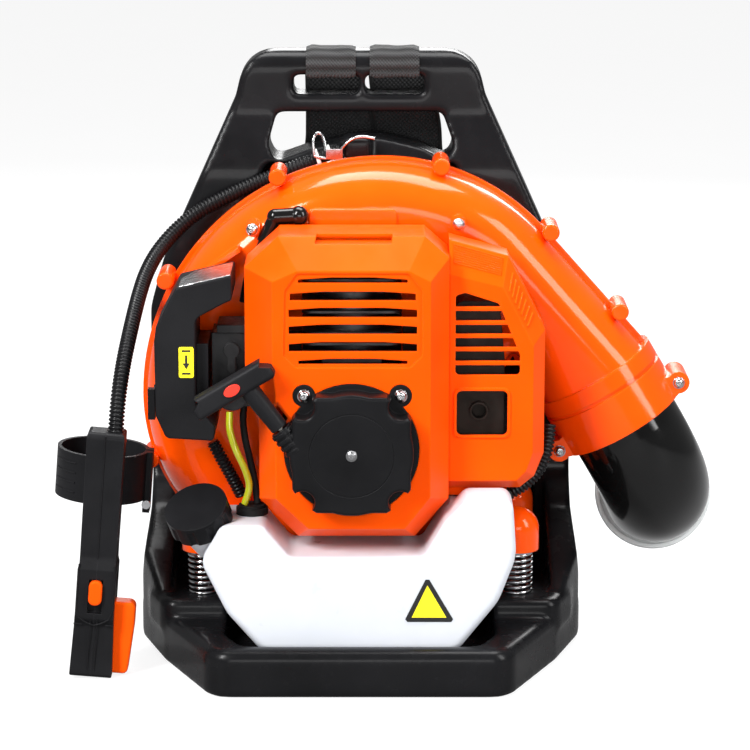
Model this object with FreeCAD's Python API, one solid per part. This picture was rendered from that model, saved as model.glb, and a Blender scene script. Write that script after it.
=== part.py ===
import FreeCAD, Part
import math
import os

V = FreeCAD.Vector
os.makedirs("parts", exist_ok=True)

# ---------------------------------------------------------------- driving dimensions (mm)
# Frame of reference: X right, Y back (towards the wearer), Z up, origin under the base.
AXIS_X, AXIS_Z = -6.0, 180.0          # crankshaft axis, along Y
PART_Y = 10.0                         # parting plane of the fan case
CASE_FRONT, CASE_REAR = -35.0, 58.0   # front and rear walls of the fan case
CASE_WALL = 3.0
FLANGE_STEP = 4.0                     # how far the case's flange stands out of its wall
FLANGE_THICK = 3.0
CASE_ROUND = 34.0                     # rounding of the case's front and rear edges
COLLAR_CENTRE = V(184, PART_Y, 206)   # start of the outlet collar
OUTLET = V(0.51, 0, -0.86).normalize()  # direction of the outlet
COLLAR_R, COLLAR_BORE, COLLAR_LONG = 49.5, 43.3, 40.0
ELBOW_R, ELBOW_WALL, ELBOW_BEND = 43.0, 2.5, 64.0
ELBOW_AIM = V(0.02, 0.94, -0.34).normalize()

BASE_LIP = 36.0                       # height of the base's rim
DECK = 50.0                           # height of the spring seats
TRAY_FLOOR = 18.0
FRAME_TOP = 453.0
PANEL_FRONT, PANEL_REAR = 92.0, 122.0
BAR_FRONT, BAR_REAR = 78.0, 118.0
WEB_WIDE, WEB_THICK = 39.0, 2.5

SPRING_X, SPRING_ROWS = 120.0, (-45.0, 48.0)
SPRING_TOP = 84.0
FOOT_R = 17.0                         # domed feet of the fan case over the springs
SPRING_R, SPRING_WIRE, SPRING_TURNS = 11.7, 1.3, 7

COVER_FRONT, COVER_SKIRT, COVER_BACK = -124.0, -102.0, -48.0
COVER_WALL = 2.5
BOOT_Y = -42.5                        # plane of the spark plug boot and its lead
STARTER_FRONT, STARTER_BACK = -143.0, -119.0
REEL_R, REEL_PLANE = 30.0, -134.0
ROPE_DIR = V(-0.61, 0, 0.7924).normalize()
BORE_R, SHAFT_R, FIT = 20.0, 8.0, 0.05

TANK_FRONT, TANK_BACK, TANK_FLOOR = -134.0, -62.0, 27.0
CAP_MID = V(-120, -112, 128)
CAP_AIM = V(-0.25, -0.5, 0.83).normalize()
CAP_R, CAP_HIGH, NECK_R = 24.0, 17.0, 19.0

HANDLE_FOOT = V(-203.3, -97, 1.6)      # middle of the throttle handle's lower end
HANDLE_LEAN = 4.6                     # degrees, top towards +X
HANDLE_HIGH, HANDLE_WIDE, HANDLE_DEEP = 188.0, 29.0, 32.0
RING_R, RING_BORE, RING_HIGH = 35.0, 32.0, 37.0
RING_LOW, RING_SHIFT = 127.0, -5.0    # height and sideways place of the ring on the handle
CORD_R, HOSE_R, LEAD_R = 6.0, 2.6, 3.5

AXIS = V(AXIS_X, 0, AXIS_Z)
COWL_SCREWS = ((-81, 332), (74, 336))
STARTER_SCREWS = ((-41, 221), (30, 221))
made = {}


# ---------------------------------------------------------------- helpers
def save(name, shape):
    """Writes one piece as parts/NAME.step."""
    shape = shape.removeSplitter()
    solids = shape.Solids
    if len(solids) != 1 or not shape.isValid():
        print("CHECK", name, "solids", len(solids), "valid", shape.isValid())
    made[name] = shape
    shape.exportStep("parts/" + name + ".step")


def save_set(name, shapes):
    """Writes a group of equal loose pieces as one node."""
    made[name] = Part.makeCompound(shapes)
    made[name].exportStep("parts/" + name + ".step")


def box(x0, x1, y0, y1, z0, z1):
    return Part.makeBox(x1 - x0, y1 - y0, z1 - z0, V(x0, y0, z0))


def rod(start, end, radius):
    return Part.makeCylinder(radius, (end - start).Length, start, end - start)


def disc(centre_x, centre_z, radius, y0, y1):
    """Cylinder along Y."""
    return Part.makeCylinder(radius, y1 - y0, V(centre_x, y0, centre_z), V(0, 1, 0))


def rounded_wire(points, place):
    """Closed wire through (a, b, radius) corners, each rounded by its radius."""
    count = len(points)
    corners = []
    for i in range(count):
        before = V(points[i - 1][0], points[i - 1][1], 0)
        here = V(points[i][0], points[i][1], 0)
        after = V(points[(i + 1) % count][0], points[(i + 1) % count][1], 0)
        radius = points[i][2] if len(points[i]) > 2 else 0
        to_before = (before - here).normalize()
        to_after = (after - here).normalize()
        half = to_before.getAngle(to_after) / 2
        if radius <= 0:
            corners.append((here, None, here))
            continue
        cut = radius / math.tan(half)
        middle = (to_before + to_after).normalize() * (radius / math.sin(half) - radius)
        corners.append((here + to_before * cut, here + middle, here + to_after * cut))
    edges = []
    for i in range(count):
        start, middle, end = corners[i]
        if middle is not None:
            edges.append(Part.Arc(place(start), place(middle), place(end)).toShape())
        following = corners[(i + 1) % count][0]
        if (following - end).Length > 1e-6:
            edges.append(Part.LineSegment(place(end), place(following)).toShape())
    return Part.Wire(edges)


def plate_y(points, y0, y1):
    """Outline in the XZ plane, extruded along Y."""
    wire = rounded_wire(points, lambda p: V(p.x, y0, p.y))
    return Part.Face(wire).extrude(V(0, y1 - y0, 0))


def plate_x(points, x0, x1):
    """Outline in the YZ plane, extruded along X."""
    wire = rounded_wire(points, lambda p: V(x0, p.x, p.y))
    return Part.Face(wire).extrude(V(x1 - x0, 0, 0))


def plate_z(points, z0, z1):
    """Outline in the XY plane, extruded along Z."""
    wire = rounded_wire(points, lambda p: V(p.x, p.y, z0))
    return Part.Face(wire).extrude(V(0, 0, z1 - z0))


def mirrored(points):
    """Right half outline, completed by its mirror image about the middle."""
    return points + [(-p[0],) + tuple(p[1:]) for p in reversed(points)]


def soften(shape, radius, wanted):
    """Rounds the edges whose middle point passes the test."""
    edges = [e for e in shape.Edges if wanted(e.CenterOfMass)]
    return shape.makeFillet(radius, edges)


def route(points):
    """Straight runs joined by the largest tangent arcs that the runs allow."""
    edges, radii = [], []
    here = points[0]
    for i in range(1, len(points) - 1):
        back = points[i - 1] - points[i]
        ahead = points[i + 1] - points[i]
        reach = 0.45 * min(back.Length, ahead.Length)
        back.normalize()
        ahead.normalize()
        half_turn = (math.pi - back.getAngle(ahead)) / 2
        radius = reach / math.tan(half_turn)
        start, end = points[i] + back * reach, points[i] + ahead * reach
        inward = (back + ahead).normalize()
        middle = points[i] + inward * (radius / math.cos(half_turn) - radius)
        edges.append(Part.LineSegment(here, start).toShape())
        edges.append(Part.Arc(start, middle, end).toShape())
        radii.append(radius)
        here = end
    edges.append(Part.LineSegment(here, points[-1]).toShape())
    return Part.Wire(edges), radii


def tube(name, points, radius):
    """Solid cord along a route; prints its bend radii and compares its volume."""
    path, radii = route(points)
    aim = points[1] - points[0]
    ring = Part.Wire(Part.Circle(points[0], aim, radius).toShape())
    solid = path.makePipeShell([ring], True, True)
    ratio = solid.Volume / (math.pi * radius ** 2 * path.Length)
    print(name, "length %.0f" % path.Length, "volume ratio %.4f" % ratio,
          "radii", [round(r) for r in radii])
    return solid


def turned(shape, centre, direction, degrees):
    copy = shape.copy()
    copy.rotate(centre, direction, degrees)
    return copy


# ---------------------------------------------------------------- carrying frame
BASE_HALF = [(110, -160, 22), (150, -68, 60), (172, 0, 60), (172, 130, 20)]
LEG_TOP_HALF = [(172, 20, 4), (171, 52, 10), (166.5, 95, 30), (166.5, 252, 40), (156, 290, 40),
                (98.5, 417, 30), (90, FRAME_TOP, 30)]
POCKET_HALF = [(88, -143, 14), (101, -112, 20), (101, 74, 10)]


def base_solid():
    body = plate_z(mirrored(BASE_HALF), 0, BASE_LIP)
    body = soften(body, 9, lambda c: c.z > BASE_LIP - 1)
    body = soften(body, 3, lambda c: c.z < 1)
    deck = mirrored([(150, -72, 14), (163, -40, 20), (168, 0, 30), (168, 126, 14)])
    raised = plate_z(deck, BASE_LIP - 10, DECK)
    raised = soften(raised, 6, lambda c: c.z > DECK - 1)
    body = body.fuse(raised)
    body = body.cut(plate_z(mirrored(POCKET_HALF), TRAY_FLOOR, DECK + 5))
    outer = Part.Face(rounded_wire(mirrored(BASE_HALF), lambda p: V(p.x, p.y, 17)))
    groove = outer.cut(outer.makeOffset2D(-0.8)).extrude(V(0, 0, 1.2))
    return body.cut(groove)


def upper_frame():
    front = plate_y(mirrored([(171, 30, 0)] + LEG_TOP_HALF[1:]), -70, 130)
    side = plate_x([(-60, 30), (-60, 45, 6), (-30, 62, 20), (40, 96, 30), (64, 118, 20), (64, 362, 60),
                    (BAR_FRONT, 402, 30), (BAR_FRONT, FRAME_TOP, 14), (BAR_REAR, FRAME_TOP, 14),
                    (BAR_REAR, 404, 30), (PANEL_REAR, 366, 10), (PANEL_REAR, 60, 6), (130, 45, 4),
                    (130, 30)], -180, 180)
    shell = front.common(side).common(plate_z(mirrored(BASE_HALF), 0, FRAME_TOP + 10))
    # Room for the fan case between the legs, in front of the back panel.
    room = [(138, 26), (138, 210, 20), (104, 300, 30), (74, 366), (-74, 366), (-104, 300, 30),
            (-138, 210, 20), (-138, 26)]
    shell = shell.cut(plate_y(room, -75, PANEL_FRONT))
    # Low brackets keep clear of the fan case, which reaches the legs' full width.
    shell = shell.cut(box(-146, 146, -75, 62, 26, 130))
    return shell


def frame_openings(shell):
    hand = [(-66, 405, 6), (-73, 380, 8), (-67, 367, 6), (-38, 377.5, 30), (8, 387, 60),
            (48, 378, 30), (68, 367, 6),
            (73, 380, 8), (64, 405, 6)]
    shell = shell.cut(plate_y(hand, 55, 135))
    # Lug on the cross rail that takes the end of the control conduit.
    shell = shell.fuse(soften(box(-14, 8, 50, 86, 371, 388), 2.5, lambda c: c.y < 80))
    for x0, x1 in ((-53, -0.8), (3.2, 50)):
        slot = [(x0, 419, 3), (x0, 434, 3), (x1, 434, 3), (x1, 419, 3)]
        shell = shell.cut(plate_y(slot, 60, 135))
    return shell


def spring_seat(x, y):
    return rod(V(x, y, DECK - 4), V(x, y, DECK + 4), SPRING_R - SPRING_WIRE - 0.6)


def make_frame():
    body = base_solid().fuse(frame_openings(upper_frame()))
    for y in SPRING_ROWS:
        for side in (-1, 1):
            body = body.fuse(spring_seat(side * SPRING_X, y))
    save("backpack_frame", body)


def make_back_pad():
    pad = plate_y([(-88, 92, 24), (-74, 332, 24), (74, 332, 24), (88, 92, 24)], PANEL_REAR, 138)
    save("back_pad", soften(pad, 7, lambda c: c.y > 137))


def make_straps():
    for side, name, x0 in ((-1, "left", -43.0), (1, "right", 7.0)):
        x1 = x0 + WEB_WIDE
        inner_low, gap = 434.0 - 0.2, 0.2
        front, rear, top = BAR_FRONT - gap, BAR_REAR + gap, FRAME_TOP + gap
        low_edge, high_edge = inner_low - WEB_THICK, top + WEB_THICK
        outside = plate_x([(front - WEB_THICK, low_edge, 3), (front - WEB_THICK, high_edge, 16),
                           (rear + WEB_THICK, high_edge, 16), (rear + WEB_THICK, low_edge, 3)], x0, x1)
        inside = plate_x([(front, inner_low, 0.5), (front, top, 13.6), (rear, top, 13.6),
                          (rear, inner_low, 0.5)], x0 - 1, x1 + 1)
        save(name + "_webbing_loop", outside.cut(inside))

        band = plate_x([(121.2, 434, 0), (132, 434, 4), (132, 396, 60), (158, 330, 60), (158, 180, 60),
                        (150, 118, 0), (140, 118, 0), (147, 180, 60), (147, 326, 60), (121.2, 394, 60)],
                       -120, 120)
        mid = x0 + WEB_WIDE / 2
        lean = side * 45.0
        # The two straps lie side by side through the hand opening and part below it.
        if side < 0:
            high = [(-43, 436), (-42, 392, 30), (-42, 360, 40)]
            high_inner = [(9.5, 360, 40), (9.5, 396, 20), (-4, 430, 8), (-4, 436)]
        else:
            high = [(46, 436), (46, 430, 8), (64, 400, 20), (64, 360, 40)]
            high_inner = [(12, 360, 40), (12, 396, 20), (7, 430, 8), (7, 436)]
        outer_low = [(mid + side * 30 + lean * 0.6, 290, 80), (mid + side * 24 + lean, 116)]
        inner_low_edge = [(mid - side * 24 + lean, 116), (mid - side * 30 + lean * 0.6, 290, 80)]
        pad = band.common(plate_y(high + outer_low + inner_low_edge + high_inner, 100, 180))
        save(name + "_shoulder_strap", pad)

        low = plate_x([(143, 117.8), (146, 117.8), (133.5, 34, 0), (133.5, 14, 0), (130.2, 14, 0),
                       (130.2, 34, 0)], -170, 170)
        foot_x = side * 118.0
        lower = plate_y([(mid - 18 + lean, 118), (mid + 18 + lean, 118), (foot_x + 15, 12),
                         (foot_x - 15, 12)], 120, 160)
        save(name + "_lower_webbing", low.common(lower))


def make_springs():
    pitch = (SPRING_TOP - DECK - 2 * SPRING_WIRE) / SPRING_TURNS
    height = SPRING_TOP - DECK - 2 * SPRING_WIRE
    for row, y in zip(("front", "rear"), SPRING_ROWS):
        for word, side in (("left", -1), ("right", 1)):
            helix = Part.makeHelix(pitch, height, SPRING_R)
            start = V(SPRING_R, 0, 0)
            ring = Part.Wire(Part.Circle(start, V(0, 1, 0.06), SPRING_WIRE).toShape())
            coil = Part.Wire(helix.Edges).makePipeShell([ring], True, True)
            coil.translate(V(side * SPRING_X, y, DECK + SPRING_WIRE))
            save(row + "_" + word + "_spring", coil)


# ---------------------------------------------------------------- fan case
def scroll_wire(y):
    """Outer line of the fan case's flange: four arcs about shifted centres and the outlet."""
    def on(centre, radius, degrees):
        a = math.radians(degrees)
        return V(centre[0] + radius * math.cos(a), y, centre[1] + radius * math.sin(a))

    def arc(centre, radius, a0, a1):
        return Part.Arc(on(centre, radius, a0), on(centre, radius, (a0 + a1) / 2),
                        on(centre, radius, a1)).toShape()

    top, upper_left, lower_left, bottom = (17, 213), (17, 194), (-24, 194), (-24, 184)
    across = V(0.86, 0, 0.51).normalize()
    collar = V(COLLAR_CENTRE.x, y, COLLAR_CENTRE.z)
    shoulder = on(top, 167, 41.35)
    far_corner = collar + across * 48
    near_corner = collar - across * 48
    tongue_top = V(118, y, 224)
    tongue_left = V(111, y, 214)
    edges = [arc(bottom, 135, 0, -90), arc(lower_left, 145, -90, -180), arc(upper_left, 186, 180, 90),
             arc(top, 167, 90, 41.35),
             Part.LineSegment(shoulder, far_corner).toShape(),
             Part.LineSegment(far_corner, near_corner).toShape(),
             Part.LineSegment(near_corner, tongue_top).toShape(),
             Part.LineSegment(tongue_top, tongue_left).toShape(),
             Part.LineSegment(tongue_left, on(bottom, 135, 0)).toShape()]
    return Part.Wire(edges)


BOSS_SPOTS = [((17, 194), 190.5, 114.8), ((17, 194), 190.5, 150.7), ((-24, 194), 146, 198.8),
              ((-24, 194), 148, 238), ((-24, 184), 138, 285), ((-24, 184), 138, 322),
              ((17, 213), 168, 74.6), ((17, 213), 170, 41)]


def boss_centres():
    spots = []
    for centre, radius, degrees in BOSS_SPOTS:
        a = math.radians(degrees)
        spots.append((centre[0] + radius * math.cos(a), centre[1] + radius * math.sin(a)))
    spots.append((199, 263))
    return spots


def half_case(direction):
    """One half of the fan case: direction -1 for the front half, +1 for the rear half."""
    depth = (CASE_REAR - PART_Y) if direction > 0 else (PART_Y - CASE_FRONT)
    flange = Part.Face(scroll_wire(PART_Y))
    wall = flange.makeOffset2D(-FLANGE_STEP)
    hollow = flange.makeOffset2D(-FLANGE_STEP - CASE_WALL)
    far = PART_Y + direction * depth

    def is_far_rim(c):
        near_outlet = (c - V(COLLAR_CENTRE.x, c.y, COLLAR_CENTRE.z)).Length < 14
        return abs(c.y - far) < 0.1 and not near_outlet

    outer = wall.extrude(V(0, direction * depth, 0))
    outer = soften(outer, CASE_ROUND, is_far_rim)
    inner = hollow.extrude(V(0, direction * (depth - CASE_WALL), 0))
    far = PART_Y + direction * (depth - CASE_WALL)
    inner = soften(inner, CASE_ROUND - CASE_WALL, is_far_rim)

    # The duct narrows to a round collar along the outlet's axis.
    start = COLLAR_CENTRE - OUTLET * 90
    keep = Part.makeCone(78, COLLAR_R - 1, 92, start, OUTLET)
    region = Part.makeCylinder(130, 60, COLLAR_CENTRE - OUTLET * 60, OUTLET)
    side_room = V(COLLAR_CENTRE.x, 0, COLLAR_CENTRE.z) - OUTLET * 30
    region = region.common(Part.makeCylinder(100, 300, side_room - V(0, 150, 0), V(0, 1, 0)))
    outer = outer.cut(region.cut(keep).cut(disc(AXIS_X, AXIS_Z, 118, -200, 200)))
    keep_in = Part.makeCone(78 - CASE_WALL, COLLAR_R - 1 - CASE_WALL, 92, start, OUTLET)
    inner = inner.cut(region.cut(keep_in).cut(disc(AXIS_X, AXIS_Z, 115, -200, 200)))

    half_space = box(-400, 500, PART_Y, 300, -100, 600) if direction > 0 else \
        box(-400, 500, -300, PART_Y, -100, 600)
    collar = rod(COLLAR_CENTRE - OUTLET * 8, COLLAR_CENTRE + OUTLET * COLLAR_LONG, COLLAR_R)
    groove = rod(COLLAR_CENTRE + OUTLET * 5, COLLAR_CENTRE + OUTLET * 8, COLLAR_R + 1)
    groove = groove.cut(rod(COLLAR_CENTRE, COLLAR_CENTRE + OUTLET * 20, COLLAR_R - 1.5))
    collar = collar.cut(groove).common(half_space)

    rim = flange.extrude(V(0, direction * FLANGE_THICK, 0))
    shell = outer.fuse(rim).fuse(collar)
    for x, z in boss_centres():
        end = PART_Y + direction * (28 if direction < 0 else 12)
        boss = disc(x, z, 6.6, min(PART_Y, end), max(PART_Y, end))
        shell = shell.fuse(soften(boss, 1.5, lambda c: abs(c.y - end) < 0.1))
    across = V(0.86, 0, 0.51).normalize()
    for sign in (-1, 1):
        spot = COLLAR_CENTRE + OUTLET * 31 + across * (sign * 53)
        end = PART_Y + direction * 20
        ear = disc(spot.x, spot.z, 8.5, min(PART_Y, end), max(PART_Y, end))
        foot = spot - across * (sign * 8)
        web = disc(foot.x, foot.z, 8.5, min(PART_Y, end), max(PART_Y, end))
        shell = shell.fuse([ear, web])
    # Feet over the isolator springs, joined to the case by rounded arms.
    y = SPRING_ROWS[0] if direction < 0 else SPRING_ROWS[1]
    for side in (-1, 1):
        x = side * SPRING_X
        foot = Part.makeCylinder(FOOT_R, 16, V(x, y, SPRING_TOP))
        crown = Part.makeSphere(FOOT_R, V(x, y, SPRING_TOP + 16))
        reach = PART_Y + direction * 20
        arm = box(min(x, side * 70), max(x, side * 70), min(y, reach) - 6, max(y, reach) + 6,
                  SPRING_TOP + 2, SPRING_TOP + 29)
        arm = soften(arm, 5, lambda c: c.z > SPRING_TOP + 28)
        shell = shell.fuse([foot, crown, arm.common(half_space)])
    collar_bore = rod(COLLAR_CENTRE - OUTLET * 7.5, COLLAR_CENTRE + OUTLET * 60, COLLAR_BORE)
    shell = shell.cut(inner).cut(collar_bore)
    return shell.common(half_space)


def make_fan_case():
    front = half_case(-1)
    front = front.cut(disc(AXIS_X, AXIS_Z, 46, CASE_FRONT - 5, 0))
    hub = disc(AXIS_X, AXIS_Z, 58, CASE_FRONT - 3, CASE_FRONT + 4).cut(
        disc(AXIS_X, AXIS_Z, 46, CASE_FRONT - 5, 0))
    front = front.fuse(hub)
    # Raised pad above the engine and the curved cooling-air guides beside it.
    pad = plate_y([(-39, 328, 5), (-39, 346, 5), (28, 346, 5), (28, 328, 5)],
                  CASE_FRONT - 2.5, CASE_FRONT + 4)
    front = front.fuse(soften(pad, 1.5, lambda c: c.y < CASE_FRONT - 2))
    for radius, a0, a1, high in ((163, 122, 150, 12), (150, 64, 76, 8)):
        guide = disc(AXIS_X, AXIS_Z, radius, CASE_FRONT - high, CASE_FRONT + 12).cut(
            disc(AXIS_X, AXIS_Z, radius - 4, CASE_FRONT - high - 1, CASE_FRONT + 13))
        low, high_a = math.radians(a0), math.radians(a1)
        far = 260
        wedge = plate_y([(AXIS_X, AXIS_Z),
                         (AXIS_X + far * math.cos(low), AXIS_Z + far * math.sin(low)),
                         (AXIS_X + far * math.cos(high_a), AXIS_Z + far * math.sin(high_a))], -90, 0)
        front = front.fuse(guide.common(wedge))
    for x, z in COWL_SCREWS:
        front = front.fuse(disc(x, z, 5.5, CASE_FRONT - 11.5, CASE_FRONT + 12))
    save("fan_case_front", front)

    rear = half_case(1)
    rear = rear.cut(disc(AXIS_X, AXIS_Z, 66, CASE_REAR - 20, CASE_REAR + 5))
    mouth = disc(AXIS_X, AXIS_Z, 72, CASE_REAR - 4, CASE_REAR + 3).cut(
        disc(AXIS_X, AXIS_Z, 66, CASE_REAR - 10, CASE_REAR + 6))
    save("fan_case_rear", rear.fuse(mouth))

    grille = disc(AXIS_X, AXIS_Z, 72, CASE_REAR + 3, CASE_REAR + 7).cut(
        disc(AXIS_X, AXIS_Z, 64, CASE_REAR, CASE_REAR + 9))
    for radius in (18, 34, 50):
        ring = disc(AXIS_X, AXIS_Z, radius + 1.6, CASE_REAR + 3, CASE_REAR + 6).cut(
            disc(AXIS_X, AXIS_Z, radius - 1.6, CASE_REAR, CASE_REAR + 9))
        grille = grille.fuse(ring)
    for i in range(8):
        spoke = box(AXIS_X - 1.6, AXIS_X + 1.6, CASE_REAR + 3, CASE_REAR + 6, AXIS_Z + 8, AXIS_Z + 66)
        grille = grille.fuse(turned(spoke, AXIS, V(0, 1, 0), i * 45))
    grille = grille.fuse(disc(AXIS_X, AXIS_Z, 10, CASE_REAR + 3, CASE_REAR + 6))
    save("intake_grille", grille)

    screws = []
    for x, z in COWL_SCREWS:
        screws.append(disc(x, z, 4.6, CASE_FRONT - 15, CASE_FRONT - 11.5))
    across = V(0.86, 0, 0.51).normalize()
    for sign in (-1, 1):
        spot = COLLAR_CENTRE + OUTLET * 31 + across * (sign * 53)
        screws.append(disc(spot.x, spot.z, 4.2, PART_Y - 23.5, PART_Y - 20))
    save_set("case_screws", screws)


# ---------------------------------------------------------------- outlet elbow
def bend_wire():
    normal = ELBOW_AIM - OUTLET * ELBOW_AIM.dot(OUTLET)
    normal.normalize()
    turn = OUTLET.getAngle(ELBOW_AIM)
    start = COLLAR_CENTRE + OUTLET * 8
    bend = COLLAR_CENTRE + OUTLET * 50
    centre = bend + normal * ELBOW_BEND

    def on(angle):
        return centre + (OUTLET * math.sin(angle) - normal * math.cos(angle)) * ELBOW_BEND

    end = on(turn) + ELBOW_AIM * 34
    edges = [Part.LineSegment(start, bend).toShape(), Part.Arc(bend, on(turn / 2), on(turn)).toShape(),
             Part.LineSegment(on(turn), end).toShape()]
    return Part.Wire(edges), start, on(turn), end


def make_elbow():
    path, start, bend_end, end = bend_wire()
    outer = path.makePipeShell([Part.Wire(Part.Circle(start, OUTLET, ELBOW_R).toShape())], True, True)
    inner = path.makePipeShell(
        [Part.Wire(Part.Circle(start, OUTLET, ELBOW_R - ELBOW_WALL).toShape())], True, True)
    save("elbow", outer.cut(inner))
    ring_start = end - ELBOW_AIM * 14
    ring = rod(ring_start, ring_start + ELBOW_AIM * 9, ELBOW_R + 3.2)
    save("elbow_ring", ring.cut(rod(ring_start - ELBOW_AIM, end, ELBOW_R)))


# ---------------------------------------------------------------- engine
def make_engine():
    case = disc(AXIS_X, AXIS_Z, 42, -96, -38)
    case = case.fuse(disc(AXIS_X, AXIS_Z, 54, CASE_FRONT - 8, CASE_FRONT - 3))
    case = case.fuse(disc(AXIS_X, AXIS_Z, 30, -38, -22)).fuse(disc(AXIS_X, AXIS_Z, 20, -99, -96))
    case = case.fuse(box(AXIS_X - 30, AXIS_X + 30, -96, -44, AXIS_Z + 28, AXIS_Z + 46))
    case = case.cut(disc(AXIS_X, AXIS_Z, 33, -88, -50))
    case = case.cut(disc(AXIS_X, AXIS_Z, SHAFT_R + FIT, -110, -10))
    case = case.cut(rod(V(AXIS_X, -69, AXIS_Z + 20), V(AXIS_X, -69, AXIS_Z + 50), BORE_R + FIT))
    save("crankcase", case)

    barrel_low, barrel_top = AXIS_Z + 46, AXIS_Z + 132
    barrel = rod(V(AXIS_X, -69, barrel_low), V(AXIS_X, -69, barrel_top), 25.5)
    barrel = barrel.fuse(box(AXIS_X - 29, AXIS_X + 29, -95, -45, barrel_low, barrel_low + 6))
    for i in range(10):
        z = barrel_low + 12 + i * 8
        fin = plate_z([(AXIS_X - 37, -101, 8), (AXIS_X + 37, -101, 8), (AXIS_X + 37, -42, 8),
                       (AXIS_X - 37, -42, 8)], z, z + 2)
        barrel = barrel.fuse(fin)
    low, roof = V(AXIS_X, -69, barrel_low - 1), V(AXIS_X, -69, barrel_top - 10)
    barrel = barrel.cut(rod(low, roof, BORE_R + FIT))
    barrel = barrel.cut(rod(roof - V(0, 0, 2), roof + V(0, 0, 12), 5))
    save("cylinder", barrel)

    piston_mid = AXIS_Z + 46 + 38
    piston = rod(V(AXIS_X, -69, piston_mid - 14), V(AXIS_X, -69, piston_mid + 14), BORE_R)
    piston = piston.cut(rod(V(AXIS_X, -69, piston_mid - 15), V(AXIS_X, -69, piston_mid + 8), BORE_R - 4))
    piston = piston.fuse(rod(V(AXIS_X, -69 - 17, piston_mid), V(AXIS_X, -69 + 17, piston_mid), 4))
    save("piston", piston)

    plug_tip = V(AXIS_X, -69, barrel_top)
    plug = rod(plug_tip + V(0, 0, -6), plug_tip, 4.9).fuse(
        Part.makeCylinder(8, 6, plug_tip, V(0, 0, 1))).fuse(
        Part.makeCylinder(5, 10, plug_tip + V(0, 0, 6), V(0, 0, 1)))
    save("spark_plug", plug)

    coil_low = AXIS_Z + 45.4
    coil = box(AXIS_X - 18, AXIS_X - 10, -113, -103, coil_low, coil_low + 20)
    coil = coil.fuse(box(AXIS_X + 10, AXIS_X + 18, -113, -103, coil_low, coil_low + 20))
    coil = coil.fuse(box(AXIS_X - 22, AXIS_X + 22, -114, -103, coil_low + 12, coil_low + 26))
    save("ignition_coil", coil)

    muffler = plate_y([(70, 166, 8), (70, 284, 8), (104, 284, 8), (108, 240, 8), (108, 166, 8)], -82, -44)
    muffler = muffler.fuse(disc(89, 201, 7, -87, -80)).cut(disc(89, 201, 5.5, -88, -78))
    muffler = muffler.fuse(box(32, 71, -84, -54, 244, 266))
    save("muffler", muffler)

    save("intake_manifold", box(-78, -44, -86, -56, 232, 262))
    carb = box(-110, -78.2, -92, -56, 206, 262).fuse(disc(-95, 216, 12, -98, -60))
    carb = carb.fuse(disc(-95, 250, 5, -98, -92)).fuse(box(-106, -84, -94, -58, 262, 268))
    carb = carb.cut(disc(-95, 250, 2.05, -99, -80))
    save("carburettor", carb)

    lever = disc(-95, 250, 6, -101, -98.3).fuse(box(-98, -92, -101, -98.3, 237, 250))
    lever = lever.fuse(disc(-95, 237, 3.5, -101, -98.3)).fuse(disc(-95, 250, 2, -101, -84))
    save("throttle_lever", lever)

    # Spark plug boot: an elbow behind the top of the engine cover, with its lead.
    knob, knee, boot_end = V(-46, BOOT_Y, 342), V(-64, BOOT_Y, 341), V(-73, BOOT_Y, 322)
    boot = rod(knob, knee, 6.2).fuse(Part.makeSphere(6.2, knee)).fuse(rod(knee, boot_end, 5.2))
    save("spark_plug_boot", boot.fuse(Part.makeSphere(7.4, knob)))
    along = (boot_end - knee).normalize()
    lead = [boot_end + along * 0.1, boot_end + along * 15, V(-85, BOOT_Y, 293), V(-88, BOOT_Y, 276)]
    save("ignition_lead", tube("ignition_lead", lead, LEAD_R))


def make_rotor():
    shaft = disc(AXIS_X, AXIS_Z, SHAFT_R, -117, 38)
    for y0, y1 in ((-84, -74), (-64, -54)):
        web = disc(AXIS_X, AXIS_Z, 31, y0, y1)
        web = web.cut(box(AXIS_X - 40, AXIS_X - 14, y0 - 1, y1 + 1, AXIS_Z + 2, AXIS_Z + 40))
        web = web.cut(box(AXIS_X + 14, AXIS_X + 40, y0 - 1, y1 + 1, AXIS_Z + 2, AXIS_Z + 40))
        shaft = shaft.fuse(web)
    shaft = shaft.cut(disc(AXIS_X, AXIS_Z, 20, -74, -64)).fuse(disc(AXIS_X, AXIS_Z + 15, 6, -84, -54))
    save("crankshaft", shaft)

    wheel = disc(AXIS_X, AXIS_Z, 44, -114, -106).fuse(disc(AXIS_X, AXIS_Z, 14, -116, -101))
    for i in range(12):
        fin = box(AXIS_X - 1, AXIS_X + 1, -106, -101, AXIS_Z + 16, AXIS_Z + 42)
        wheel = wheel.fuse(turned(fin, AXIS, V(0, 1, 0), i * 30))
    save("flywheel", wheel.cut(disc(AXIS_X, AXIS_Z, SHAFT_R, -117.5, -100)))

    fan = disc(AXIS_X, AXIS_Z, 100, -14, -10).fuse(disc(AXIS_X, AXIS_Z, 18, -16, 38))
    for i in range(11):
        blade = plate_y([(AXIS_X + 22, AXIS_Z - 2), (AXIS_X + 98, AXIS_Z + 22),
                         (AXIS_X + 97, AXIS_Z + 25), (AXIS_X + 21, AXIS_Z + 2)], -11, 30)
        root = box(AXIS_X + 14, AXIS_X + 24, -11, 24, AXIS_Z - 2, AXIS_Z + 2)
        for piece in (blade, root):
            fan = fan.fuse(turned(piece, AXIS, V(0, 1, 0), i * 360 / 11))
    save("impeller", fan.cut(disc(AXIS_X, AXIS_Z, SHAFT_R, -20, 40)))


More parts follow.
